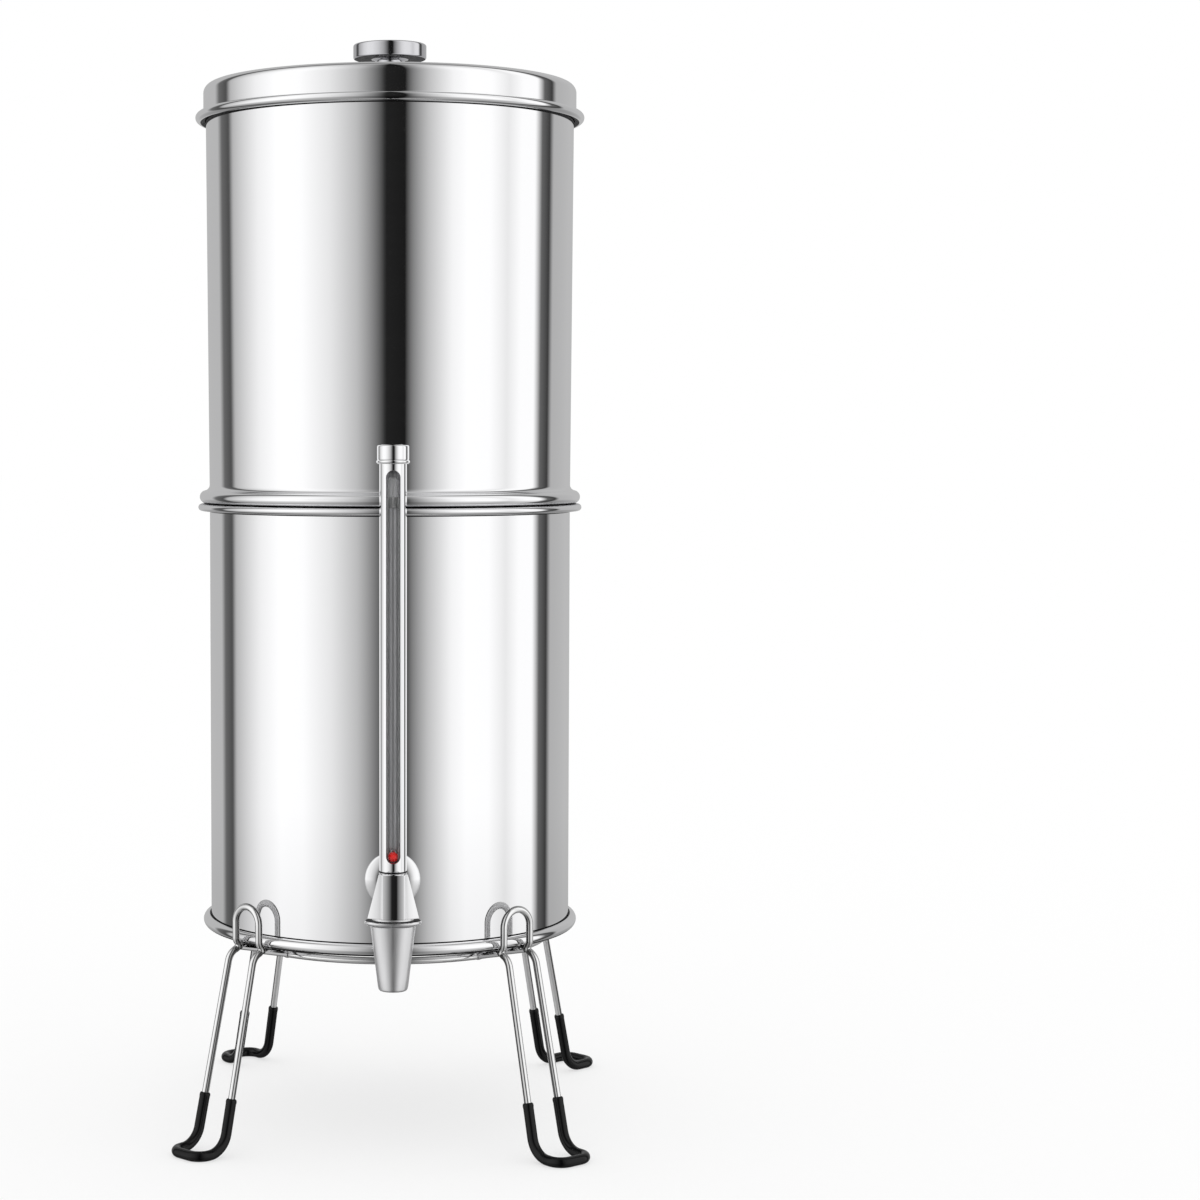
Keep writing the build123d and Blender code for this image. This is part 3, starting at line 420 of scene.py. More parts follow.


# %% [markdown]
# Not every face of a pressing is polished, and some faces get painted shade. A second finish goes
# on the faces whose middle passes a test of its distance from an axis (r), its height (z), and how
# far its normal points out and up.

# %% Second finish
def refinish(piece, paint, wanted, axis_y=0):
    """Give a second finish to the faces that pass a test of r, z, out and up."""
    piece.data.materials.append(paint)
    lone(piece)
    bpy.ops.object.mode_set(mode="EDIT")
    bpy.ops.mesh.select_mode(type="FACE")
    bpy.ops.mesh.select_all(action="DESELECT")
    shape = bmesh.from_edit_mesh(piece.data)
    for face in shape.faces:
        middle = face.calc_center_median() / MM - Vector((0, axis_y, 0))
        r = hypot(middle.x, middle.y)
        out = (middle.x * face.normal.x + middle.y * face.normal.y) / max(r, 0.001)
        face.select_set(wanted(r, middle.z, out, face.normal.z))
    bmesh.update_edit_mesh(piece.data)
    piece.active_material_index = len(piece.data.materials) - 1
    bpy.ops.object.material_slot_assign()
    bpy.ops.object.mode_set(mode="OBJECT")
    count = sum(face.material_index == piece.active_material_index for face in piece.data.polygons)
    print(paint.name, "on", count, "faces of", piece.name)


# %% [markdown]
# ## The lid
# The lid is pressed from one disc of sheet: a crown of less than two millimetres, a rounded
# shoulder, a straight skirt, and a bead rolled outwards at the rim. The section is drawn with the
# sheet's thickness, so the inside is right when the lid is lifted. Straight runs get an extra
# point near each end, which keeps the smooth shading of the curves from spreading over the flats.

# %% Lid shell
SHEET = 0.8
LID_RADIUS, LID_EDGE, LID_CROWN, LID_ROUND, LID_PAD = 110.6, 614.7, 616.5, 5.0, 12.0
LID_BEAD, LID_BEAD_RADIUS, LID_BEAD_Z, SCREW_HOLE = 2.7, 112.65, 595.3, 2.7
shoulder = LID_RADIUS - LID_ROUND
crown_line = [(LID_PAD + (shoulder - LID_PAD) * share, LID_CROWN - 1.8 * share ** 2)
              for share in (0, 0.1, 0.2, 0.35, 0.5, 0.65, 0.8, 0.9, 0.97)]
inner_skirt = LID_RADIUS - SHEET
outside = [(SCREW_HOLE, LID_CROWN), *crown_line,
           *arc((shoulder, LID_EDGE - LID_ROUND), LID_ROUND, 90, 0, 6),
           (LID_RADIUS, LID_EDGE - LID_ROUND - 0.8), (LID_RADIUS, LID_BEAD_Z + 3.4),
           (LID_RADIUS, LID_BEAD_Z + 2.6), (LID_RADIUS + 0.2, LID_BEAD_Z + 2.05),
           *arc((LID_BEAD_RADIUS, LID_BEAD_Z), LID_BEAD, 132, -130, 9)]
inside = [(inner_skirt, LID_BEAD_Z - 1.6), (inner_skirt, LID_BEAD_Z - 0.8),
          (inner_skirt, LID_EDGE - LID_ROUND - 0.8),
          *arc((shoulder, LID_EDGE - LID_ROUND), LID_ROUND - SHEET, 0, 90),
          *[(across, height - SHEET) for across, height in reversed(crown_line)],
          (SCREW_HOLE, LID_CROWN - SHEET)]
lid = turn("pressed_lid", upright(outside + inside))
fit(lid, "lid", "polished_steel", mirror_steel, "lid_shell")
refinish(lid, drawn_steel, lambda r, z, out, up: (
    out < -0.3 or (up < -0.3 and r < LID_RADIUS - 1.6)))
# Painted shade under the lid's rolled bead.
refinish(lid, painted_shade_steel, lambda r, z, out, up: (
    r < LID_BEAD_RADIUS - 0.45 and z < LID_BEAD_Z - 0.9 and up < 0.3))

# %% [markdown]
# The knob is a mushroom turned from bar: a foot, a waist, and a disc with softened edges. Its side
# is a plain cylinder that shows the whole tent in a few millimetres.

# %% Knob
KNOB_RADIUS, KNOB_TOP, KNOB_SIDE, KNOB_NECK, KNOB_FOOT = 21.7, 639.2, 8.7, 8.0, 9.5
knob_under = KNOB_TOP - KNOB_SIDE
knob_section = [(0, LID_CROWN), (KNOB_FOOT, LID_CROWN), (KNOB_FOOT - 0.2, LID_CROWN + 0.8),
                (KNOB_NECK + 0.4, LID_CROWN + 2.2), (KNOB_NECK, LID_CROWN + 5),
                (KNOB_NECK, knob_under - 3.2),
                *arc((KNOB_NECK + 3, knob_under - 3), 3, 180, 90),
                (KNOB_RADIUS - 1.6, knob_under),
                *arc((KNOB_RADIUS - 1.2, knob_under + 1.2), 1.2, -90, 0, 15),
                (KNOB_RADIUS, knob_under + 1.7), (KNOB_RADIUS, KNOB_TOP - 1.7),
                *arc((KNOB_RADIUS - 1.2, KNOB_TOP - 1.2), 1.2, 0, 90, 15),
                (KNOB_RADIUS - 1.8, KNOB_TOP), (0, KNOB_TOP)]
knob = turn("turned_knob", upright(knob_section), steps=128)
fit(knob, "lid", "polished_steel", turned_steel, "lid_knob")
# Painted shade on the underside of the knob's disc.
refinish(knob, painted_shade_steel, lambda r, z, out, up: up < -0.9 and r > KNOB_NECK + 4)

# %% [markdown]
# ## The upper chamber
# It is spun from one sheet, like a deep pan. A stop bead is rolled out above the band that drops
# into the lower chamber, and carries the weight on the rim below. The wall widens by a millimetre
# and a half towards the top. Two holes in the floor take the stems of the filters, and are cut
# with a Boolean, which leaves a clean edge. The floor has a band of its own for them, so that the
# cut leaves the rest of it whole.

# %% Upper chamber
STOP_BEAD, STOP_BEAD_RADIUS, STOP_FILLET, SEAT_RADIUS = 3.8, 109.9, 3.5, 106.3
UPPER_LOW_RADIUS, UPPER_TOP_RADIUS, UPPER_TOP, RIM_TOP = 107.8, 109.3, 611.2, 367.2
SEAT_DROP, BODY_GAP, STEM_HOLE, STEM_OFFSET, STEM_BAND = 13.8, 0.4, 6.6, 50, (70, 30)
stop_bead_z = RIM_TOP + BODY_GAP + STOP_BEAD
seat_bottom = stop_bead_z - STOP_BEAD - SEAT_DROP
upper_floor = seat_bottom + SHEET
fillet_x = UPPER_LOW_RADIUS + STOP_FILLET
fillet_z = stop_bead_z + sqrt((STOP_BEAD + STOP_FILLET) ** 2 - (fillet_x - STOP_BEAD_RADIUS) ** 2)
touch = degrees(atan2(fillet_z - stop_bead_z, fillet_x - STOP_BEAD_RADIUS))


def upper_wall(height, inset=0):
    """A point on the upper chamber's tapered wall."""
    share = (height - fillet_z) / (UPPER_TOP - fillet_z)
    return UPPER_LOW_RADIUS + (UPPER_TOP_RADIUS - UPPER_LOW_RADIUS) * share - inset, height


outside = [(0, seat_bottom), (SEAT_RADIUS - 5, seat_bottom),
           *arc((SEAT_RADIUS - 4, seat_bottom + 4), 4, -90, 0),
           (SEAT_RADIUS, seat_bottom + 5), (SEAT_RADIUS, stop_bead_z - STOP_BEAD - 0.6),
           (SEAT_RADIUS + 0.5, stop_bead_z - STOP_BEAD),
           (STOP_BEAD_RADIUS - 0.6, stop_bead_z - STOP_BEAD),
           *arc((STOP_BEAD_RADIUS, stop_bead_z), STOP_BEAD, -90, touch, 6),
           *arc((fillet_x, fillet_z), STOP_FILLET, 180 + touch, 180, 4)[1:],
           upper_wall(fillet_z + 0.8), upper_wall(fillet_z + 60), upper_wall(UPPER_TOP - 60),
           upper_wall(UPPER_TOP - 1.2)]
inside = [*arc((UPPER_TOP_RADIUS - SHEET / 2, UPPER_TOP - SHEET / 2), SHEET / 2, 0, 180, 30),
          *[upper_wall(height, SHEET) for height in (UPPER_TOP - 60, fillet_z + 60, fillet_z)],
          (SEAT_RADIUS - SHEET, stop_bead_z - STOP_BEAD), (SEAT_RADIUS - SHEET, upper_floor + 4),
          *arc((SEAT_RADIUS - 4, upper_floor + 3.2), 3.2, 0, -90),
          *[(across, upper_floor) for across in (*STEM_BAND, 0)]]
upper = turn("spun_upper_chamber", upright(outside + inside))


def cut_away(piece, cutter):
    """Take a cutter's shape out of a piece with a Boolean modifier."""
    lone(piece)
    cut = piece.modifiers.new("cut", "BOOLEAN")
    cut.operation = "DIFFERENCE"
    cut.solver = "EXACT"
    cut.object = cutter
    bpy.ops.object.modifier_apply(modifier=cut.name)
    bpy.data.objects.remove(cutter)


def bore(piece, radius, centre, depth, turned=(0, 0, 0)):
    """Drill a round hole."""
    bpy.ops.object.select_all(action="DESELECT")
    bpy.ops.mesh.primitive_cylinder_add(vertices=48, radius=radius * MM, depth=depth * MM,
                                        location=Vector(centre) * MM, rotation=turned)
    cut_away(piece, bpy.context.object)


for side in (-1, 1):
    bore(upper, STEM_HOLE, (side * STEM_OFFSET, 0, seat_bottom), 10)
fit(upper, "upper_tank", "polished_steel", mirror_steel, "upper_chamber")
refinish(upper, drawn_steel, lambda r, z, out, up: (
    out < -0.5 or (up > 0.5 and z < upper_floor + 5.4)))
# Painted shade under the stop bead, in the gap above the rim below.
refinish(upper, painted_shade_steel, lambda r, z, out, up: (
    r > SEAT_RADIUS and RIM_TOP - 1 < z < stop_bead_z - 0.86 * STOP_BEAD and up < 0.2))

# %% [markdown]
# ## The lower chamber
# The lower chamber has a rim rolled flat to carry the upper one, and a bead at its base, where the
# stand's arches hold it. The crease above the bead, and the undersides of the bead and the rim, get
# painted shade. Below the bead the base turns in and down to the ring. The tap's hole is drilled
# through a narrow band of the wall, so the long faces above and below it stay whole.

# %% Lower chamber
LOWER_RADIUS, BASE_RADIUS = 107.7, 92.0
BASE_BEAD, BASE_BEAD_RADIUS, BASE_BEAD_Z = 3.4, 108.95, 117.6
RIM_THICK, RIM_REACH, SHANK_Z, TAP_HOLE = 4.0, 114.6, 158.0, 8.2
RING_RADIUS, RING_Z, WIRE = 94.0, 108.7, 2.05
floor_z = RING_Z + WIRE + BODY_GAP
crease_z = BASE_BEAD_Z + 3.5
rim_half = RIM_THICK / 2
rim_low = RIM_TOP - RIM_THICK
rim_centre = (RIM_REACH - rim_half, RIM_TOP - rim_half)
inner_wall = LOWER_RADIUS - SHEET
outside = [(0, floor_z), (BASE_RADIUS - 1, floor_z), (BASE_RADIUS, floor_z + 0.1),
           (BASE_RADIUS + 0.9, floor_z + 0.5), (BASE_RADIUS + 2.4, floor_z + 1.9),
           (BASE_RADIUS + 4.6, floor_z + 2.8), (BASE_RADIUS + 8, floor_z + 3.3),
           *arc((BASE_BEAD_RADIUS, BASE_BEAD_Z), BASE_BEAD, -136, 117, 6),
           (LOWER_RADIUS - 0.4, crease_z - 0.35), (LOWER_RADIUS - 0.4, crease_z),
           *[(LOWER_RADIUS, height) for height in (
               crease_z + 0.4, crease_z + 1, crease_z + 2, SHANK_Z - 10, SHANK_Z + 10,
               rim_low - 60, rim_low - 1.6, rim_low - 0.8)],
           (LOWER_RADIUS + 0.7, rim_low), (RIM_REACH - rim_half - 0.6, rim_low),
           *arc(rim_centre, rim_half, -90, 90, 9)]
inside = [(LOWER_RADIUS + 0.4, RIM_TOP), *arc((LOWER_RADIUS, RIM_TOP - SHEET), SHEET, 90, 180, 18),
          (inner_wall, RIM_TOP - 2), (inner_wall, SHANK_Z + 10), (inner_wall, SHANK_Z - 10),
          (inner_wall, BASE_BEAD_Z + 0.5), (inner_wall - 1.4, BASE_BEAD_Z - 1.4),
          (BASE_RADIUS + 7.5, floor_z + 4.2), (BASE_RADIUS + 3.6, floor_z + 3.4),
          (BASE_RADIUS + 1, floor_z + 2), (BASE_RADIUS - 0.6, floor_z + SHEET),
          (BASE_RADIUS - 2, floor_z + SHEET), (0, floor_z + SHEET)]
lower = turn("spun_lower_chamber", upright(outside + inside))
bore(lower, TAP_HOLE, (0, -LOWER_RADIUS, SHANK_Z), 20, (pi / 2, 0, 0))
fit(lower, "lower_tank", "polished_steel", mirror_steel, "lower_chamber")
refinish(lower, drawn_steel, lambda r, z, out, up: (
    (out < -0.5 and z > BASE_BEAD_Z and r < LOWER_RADIUS - 0.5)
    or (up > 0.5 and r < inner_wall - 0.9) or (up > 0.8 and z > RIM_TOP - 0.4)))
# Painted shade in the crease above the base bead, and under the bead and the rim.
refinish(lower, painted_shade_steel, lambda r, z, out, up: (
    (crease_z - 0.8 < z < crease_z + 0.5 and LOWER_RADIUS - 0.5 < r < LOWER_RADIUS + 1.0)
    or (up < -0.6 and r > LOWER_RADIUS - 3 and z < BASE_BEAD_Z)
    or (up < -0.5 and r < LOWER_RADIUS + 2 and z > rim_low - 1)))

# %% [markdown]
# ## Bent wire
# The stand is made of chromed wire. A wire is drawn as its centre line: a few corners, each with
# the radius of the pin that it was bent round. Converting the line to a curve gives it a round
# section, and converting it back makes it a mesh.

# %% Wire helpers
def bent(corners, closed=False, step=7):
    """The corners of a route, each with its own bend radius, as a smooth line of points."""
    places = [Vector(place) for place, _ in corners]
    line = []
    for index, (_, radius) in enumerate(corners):
        here = places[index]
        at_end = not closed and index in (0, len(places) - 1)
        if at_end or radius == 0:
            line.append(here)
            continue
        before = (places[index - 1] - here).normalized()
        after = (places[(index + 1) % len(places)] - here).normalized()
        half = before.angle(after) / 2
        centre = here + (before + after).normalized() * (radius / sin(half))
        start = here + before * (radius * cos(half) / sin(half)) - centre
        end = here + after * (radius * cos(half) / sin(half)) - centre
        sweep = start.angle(end)
        count = max(2, ceil(degrees(sweep) / step))
        for k in range(count + 1):
            leave, reach = sin(sweep * (1 - k / count)), sin(sweep * k / count)
            line.append(centre + (start * leave + end * reach) / sin(sweep))
    return line + [line[0]] if closed else line


def wire(name, line, radius, sides=24, tips=()):
    """A round wire along a line of points. Tips are shares of the radius at its ends."""
    piece = draw(name, line)
    bpy.ops.mesh.select_all(action="SELECT")
    bpy.ops.mesh.remove_doubles(threshold=MICRON)
    bpy.ops.object.mode_set(mode="OBJECT")
    lone(piece)
    bpy.ops.object.convert(target="CURVE")
    curve = bpy.context.object.data
    curve.bevel_depth = radius * MM
    curve.bevel_resolution = sides // 4 - 1
    curve.use_fill_caps = True
    points = curve.splines[0].points
    for place, share in enumerate(tips):
        points[place].radius = share
        points[-1 - place].radius = share
    bpy.ops.object.convert(target="MESH")
    piece = bpy.context.object
    bpy.ops.object.mode_set(mode="EDIT")
    close_mesh()
    return piece


def join(parts):
    """One object from several, which keeps the first one's name."""
    lone(parts[0])
    for part in parts[1:]:
        part.select_set(True)
    bpy.ops.object.join()
    return bpy.context.object


# %% [markdown]
# The support ring is one wire, bent round and butt welded. The weld leaves a slight swelling,
# which is put at the back, where it doesn't show.

# %% Support ring
WELD_SWELL = 0.25
ring_line = [(RING_RADIUS * sin(radians(turned)), RING_RADIUS * cos(radians(turned)), RING_Z)
             for turned in range(0, 360, 2)]
ring = wire("support_ring_wire", [*ring_line, ring_line[0]], WIRE)
bpy.ops.object.mode_set(mode="EDIT")
shape = bmesh.from_edit_mesh(ring.data)
for vertex in shape.verts:
    vertex.select_set(abs(vertex.co.x) < 2 * MM and vertex.co.y > 0)
shape.select_flush(True)
bmesh.update_edit_mesh(ring.data)
bpy.ops.transform.shrink_fatten(value=WELD_SWELL * MM)
bpy.ops.object.mode_set(mode="OBJECT")
fit(ring, "stand", "stand_wire", chromed_wire_and_shade, "support_ring")

# %% [markdown]
# Each leg is one closed hairpin: an upright arch in front of the base bead, two arms that turn in
# under it, two legs that spread outwards, and a foot loop on the table. Two short spokes join the
# arms to the ring, with a weld at each end. The feet are dipped in vinyl. It runs back from the
# dipped end, so each sleeve ends in a soft lip, and the weight has pressed it flat underneath.

# %% Legs and feet
ARCH_RADIUS, ARCH_TOP, ARCH_WIDTH, ARCH_FOOT = 116.0, 137.7, 19.5, 117.2
ARM_REACH, ARM_Z, KNEE_Z = 112.4, 113.3, 110.5
LEG_LEAN, LEG_RADIUS, FOOT_WIDTH, FOOT_BEND, FOOT_CORNER = 0.2313, 145.96, 23.5, 12.8, 7.5
ARCH_BEND, ARM_BEND, KNEE_BEND, KNEE_SPREAD = 3.5, 2.4, 8.4, 0.4
SPOKE, SLEEVE, SLEEVE_FLAT, ROOT_WELD, TIP_WELD, WELD_FLAT = 1.95, 3.0, 0.15, 2.9, 2.6, 0.82
LIP_STEPS, LIP_SHARES = (0.3, 0.9, 1.8, 3.0), (0.8, 0.93, 1.03, 1.05, 1.0)
# turn about the axis in degrees, reach of the foot loop, and height that the sleeve was dipped to
LEGS = {"front_left": (-45.7, 164.0, 32.0), "front_right": (37.9, 165.8, 32.0),
        "rear_right": (132.1, 168.8, 38.5), "rear_left": (217.2, 164.0, 37.0)}
foot_z = SLEEVE - SLEEVE_FLAT
arch_half, foot_half = ARCH_WIDTH / 2, FOOT_WIDTH / 2
knee_half = arch_half + KNEE_SPREAD


def on_leg(angle, reach, side, height):
    """A point on a leg: out from the axis, sideways from the leg's middle plane, and up."""
    turned = radians(angle)
    return (reach * sin(turned) + side * cos(turned), -reach * cos(turned) + side * sin(turned),
            height)


def both_sides(angle, stations):
    """A leg's corners, down one side and back up the other."""
    down = [(on_leg(angle, reach, side, z), bend) for reach, side, z, bend in stations]
    back = [(on_leg(angle, reach, -side, z), bend) for reach, side, z, bend in reversed(stations)]
    return down + back


def weld(name, place, radius):
    """A small puddle of weld metal, flatter than it is wide."""
    bpy.ops.object.select_all(action="DESELECT")
    bpy.ops.mesh.primitive_ico_sphere_add(subdivisions=3, radius=radius * MM,
                                          location=Vector(place) * MM)
    piece = bpy.context.object
    piece.name = name
    bpy.ops.object.mode_set(mode="EDIT")
    bpy.ops.transform.resize(value=(1, 1, WELD_FLAT))
    bpy.ops.object.mode_set(mode="OBJECT")
    bpy.ops.object.transform_apply(location=True)
    return piece


def knee_reach(height):
    """How far out the leaning leg is at a height."""
    return LEG_RADIUS - LEG_LEAN * height


for place, (angle, foot_reach, sleeve_top) in LEGS.items():
    foot = [(knee_reach(foot_z), foot_half, foot_z, FOOT_BEND),
            (foot_reach, foot_half, foot_z, FOOT_CORNER)]
    stations = [(ARCH_RADIUS, arch_half, ARCH_TOP, arch_half - 0.02),
                (ARCH_RADIUS, arch_half, ARCH_FOOT, ARCH_BEND),
                (ARM_REACH, arch_half, ARM_Z, ARM_BEND),
                (knee_reach(KNEE_Z), knee_half, KNEE_Z, KNEE_BEND), *foot]
    parts = [wire("leg_wire_" + place, bent(both_sides(angle, stations), closed=True), WIRE)]
    for side in (-arch_half, arch_half):
        root = on_leg(angle, sqrt(RING_RADIUS ** 2 - side ** 2), side, RING_Z)
        tip = on_leg(angle, ARM_REACH + 1.5, side, ARM_Z)
        parts.append(wire("spoke", [root, tip], SPOKE, sides=16))
        parts += [weld("root_weld", root, ROOT_WELD), weld("tip_weld", tip, TIP_WELD)]
    leg = fit(join(parts), "stand", "stand_wire", chromed_wire_and_shade, "leg_" + place)
    refinish(leg, chrome, lambda r, z, out, up: r < ARM_REACH - 0.8 and z > KNEE_Z - 6.5)
    rise = (sleeve_top - foot_z) / (KNEE_Z - foot_z)
    top_side = foot_half + (knee_half - foot_half) * rise
    top_reach = knee_reach(foot_z) + (knee_reach(KNEE_Z) - knee_reach(foot_z)) * rise
    dipped = both_sides(angle, [(top_reach, top_side, sleeve_top, 0), *foot])
    line = [Vector(point) for point in bent(dipped)]
    lead = (line[1] - line[0]).normalized()
    tail = (line[-2] - line[-1]).normalized()
    line = [line[0], *[line[0] + lead * gap for gap in LIP_STEPS], *line[1:-1],
            *[line[-1] + tail * gap for gap in reversed(LIP_STEPS)], line[-1]]
    sleeve = wire("foot_sleeve_" + place, line, SLEEVE, sides=32, tips=LIP_SHARES)
    bpy.ops.object.mode_set(mode="EDIT")
    bpy.ops.mesh.select_all(action="SELECT")
    bpy.ops.mesh.bisect(plane_co=(0, 0, 0), plane_no=(0, 0, 1), clear_inner=True, use_fill=True,
                        threshold=MICRON)
    bpy.ops.object.mode_set(mode="OBJECT")
    fit(sleeve, "stand", "black_vinyl", dipped_vinyl, "foot_" + place)

# %% [markdown]
# ## The sight gauge
# A slotted tube guards a thin clear one, in which a red float rises with the water. The guard is
# turned as a plain tube, with a thin ring at its foot that is painted dark as the shade of the gap
# below it. Its slot is drawn as an outline, filled, extruded to a cutter and taken away with a
# Boolean, so both its ends are round.

# %% Gauge housing
TAP_Y, GAUGE_RADIUS, GAUGE_BORE, GAUGE_BOTTOM, GAUGE_TOP = -127.0, 7.65, 4.7, 166.2, 396.0
SHADE_RING_RADIUS, SHADE_RING_LOW, SHADE_RING_HIGH = 8.05, 165.3, 166.1
SLOT_HALF, SLOT_BOTTOM, SLOT_TOP, SLOT_DEPTH = 4.0, 170.9, 388.8, 12
TUBE_OUTER, TUBE_INNER, TUBE_BOTTOM, TUBE_TOP = 3.9, 3.3, 169.2, 373.8
tap_axis = (0, TAP_Y, 0)
housing_section = [(GAUGE_BORE, GAUGE_BOTTOM), (GAUGE_RADIUS, SHADE_RING_LOW), (SHADE_RING_RADIUS - 0.15, SHADE_RING_LOW),
                   (SHADE_RING_RADIUS, SHADE_RING_LOW + 0.2), (SHADE_RING_RADIUS, SHADE_RING_HIGH - 0.2),
                   (SHADE_RING_RADIUS - 0.15, SHADE_RING_HIGH), (GAUGE_RADIUS, SHADE_RING_HIGH),
                   (GAUGE_RADIUS, SHADE_RING_HIGH + 1), (GAUGE_RADIUS, GAUGE_TOP - 1),
                   (GAUGE_RADIUS, GAUGE_TOP), (GAUGE_BORE, GAUGE_TOP)]
housing = turn("slotted_gauge_guard", upright(housing_section, TAP_Y), tap_axis, steps=94)
slot_line = [*arc((0, SLOT_BOTTOM + SLOT_HALF), SLOT_HALF, 180, 360, 7.5),
             *arc((0, SLOT_TOP - SLOT_HALF), SLOT_HALF, 0, 180, 7.5)]
cutter = draw("slot_cutter", upright(slot_line, TAP_Y))
bpy.ops.mesh.select_all(action="SELECT")
bpy.ops.mesh.remove_doubles(threshold=MICRON)
bpy.ops.mesh.edge_face_add()
bpy.ops.mesh.extrude_region_move(TRANSFORM_OT_translate={"value": (0, -SLOT_DEPTH * MM, 0)})
bpy.ops.mesh.select_all(action="SELECT")
bpy.ops.mesh.normals_make_consistent(inside=False)
bpy.ops.object.mode_set(mode="OBJECT")
cut_away(housing, cutter)
fit(housing, "lower_tank", "tap_chrome", chrome, "gauge_housing")
refinish(housing, drawn_steel, lambda r, z, out, up: out < -0.5, TAP_Y)
# Painted shade on the ring at the guard's foot, and in the bore above the clear tube.
refinish(housing, painted_shade_steel, lambda r, z, out, up: (
    z < SHADE_RING_HIGH + 0.1 or (out < -0.5 and z > TUBE_TOP)), TAP_Y)

# %% [markdown]
# The screw cap has a bead round its skirt. The clear tube is open at both ends, with a domed
# stopper in its top that lets the air out. The float is a moulded ball with a faint flash line and
# a small wire eye in its crown.

# %% Cap, tube, stopper and float
CAP_RADIUS, CAP_RING, CAP_BEAD, CAP_BOTTOM, CAP_TOP = 8.9, 9.35, 1.15, 392.3, 402.7
cap_inner = GAUGE_RADIUS + 0.03
cap_section = [(cap_inner, CAP_BOTTOM), (CAP_RING - 0.6, CAP_BOTTOM),
               *arc((CAP_RING - CAP_BEAD, CAP_BOTTOM + CAP_BEAD), CAP_BEAD, -60, 60, 12),
               (CAP_RADIUS - 0.02, CAP_BOTTOM + 2.5), (CAP_RADIUS, CAP_BOTTOM + 3.0),
               (CAP_RADIUS, CAP_TOP - 1.4),
               *arc((CAP_RADIUS - 1, CAP_TOP - 1), 1.0, 0, 90, 12), (CAP_RADIUS - 1.5, CAP_TOP),
               (0, CAP_TOP), (0, GAUGE_TOP + 0.05), (cap_inner, GAUGE_TOP + 0.05)]
cap = turn("gauge_screw_cap", upright(cap_section, TAP_Y), tap_axis, steps=96)
fit(cap, "lower_tank", "tap_chrome", chrome, "gauge_cap")

tube_section = [(TUBE_INNER, TUBE_BOTTOM), (TUBE_OUTER, TUBE_BOTTOM), (TUBE_OUTER, TUBE_BOTTOM + 1),
                (TUBE_OUTER, TUBE_TOP - 0.6),
                *arc((TUBE_OUTER - 0.25, TUBE_TOP - 0.25), 0.25, 0, 90, 30),
                (TUBE_INNER, TUBE_TOP)]
clear_tube = turn("clear_gauge_tube", upright(tube_section, TAP_Y), tap_axis, steps=72)
fit(clear_tube, "lower_tank", "clear_tube", clear_acrylic, "gauge_tube")

VENT_RADIUS, VENT_TOP, VENT_DOME = 3.0, 385.0, 2.4
vent_section = [(0.6, TUBE_TOP - 5.8), (TUBE_INNER - 0.3, TUBE_TOP - 5.8),
                (TUBE_INNER - 0.05, TUBE_TOP - 5.2), (TUBE_INNER - 0.05, TUBE_TOP + 0.05),
                (VENT_RADIUS, TUBE_TOP + 0.5), (VENT_RADIUS, VENT_TOP - 2.6),
                *arc((VENT_RADIUS - VENT_DOME, VENT_TOP - VENT_DOME), VENT_DOME, 0, 90, 9)]
stopper = turn("vent_stopper", upright(vent_section, TAP_Y), tap_axis, steps=64)
fit(stopper, "lower_tank", "clear_tube", thick_acrylic, "vent_plug")

BALL, BALL_Z, FLASH = 3.0, 173.6, 0.03
ball_section = [*arc((0, BALL_Z), BALL, -90, -3, 8), (BALL + FLASH, BALL_Z),
                *arc((0, BALL_Z), BALL, 3, 90, 8)]
ball = turn("red_float_ball", upright(ball_section, TAP_Y), tap_axis, steps=64)
fit(ball, "gauge_float", "red_float", red_plastic, "float_ball")

EYE, EYE_WIRE, EYE_SINK = 1.3, 0.32, 0.45
eye_section = [(EYE + across, 0, height) for across, height in arc((0, 0), EYE_WIRE, 0, 360, 30)]
eye = turn("float_eye", eye_section, steps=40)
bpy.ops.object.mode_set(mode="EDIT")
bpy.ops.mesh.select_all(action="SELECT")
bpy.ops.transform.rotate(value=pi / 2, orient_axis="X", center_override=(0, 0, 0))
bpy.ops.transform.translate(value=Vector((0, TAP_Y, BALL_Z + BALL - EYE_SINK)) * MM)
bpy.ops.object.mode_set(mode="OBJECT")
fit(eye, "gauge_float", "bare_steel", chrome)

# %% [markdown]
# ## The tap
# The nozzle is a casting that starts as an oval flange and runs down to a round lip. A round shape
# is turned first. Then each ring of its outside is stretched sideways by its own amount, which
# turns circles into ovals and keeps the rounded edges round.

# %% Nozzle
FLANGE_WIDTH, FLANGE_DEPTH, FLANGE_THICK, FLANGE_ROUND = 15.9, 9.5, 2.9, 1.4
NOZZLE_WIDTH, NOZZLE_RADIUS, NOZZLE_BOTTOM, NOZZLE_BORE, NOZZLE_LIP = 12.8, 8.2, 98.8, 6.6, 1.4
BODY_BOTTOM = 138.6
flange_top = BODY_BOTTOM - 0.05
flange_low = flange_top - FLANGE_THICK


def choose(piece, wanted):
    """In edit mode, select the vertices whose place passes a test."""
    shape = bmesh.from_edit_mesh(piece.data)
    for vertex in shape.verts:
        vertex.select_set(wanted(vertex.co / MM))
    shape.select_flush(True)
    bmesh.update_edit_mesh(piece.data)


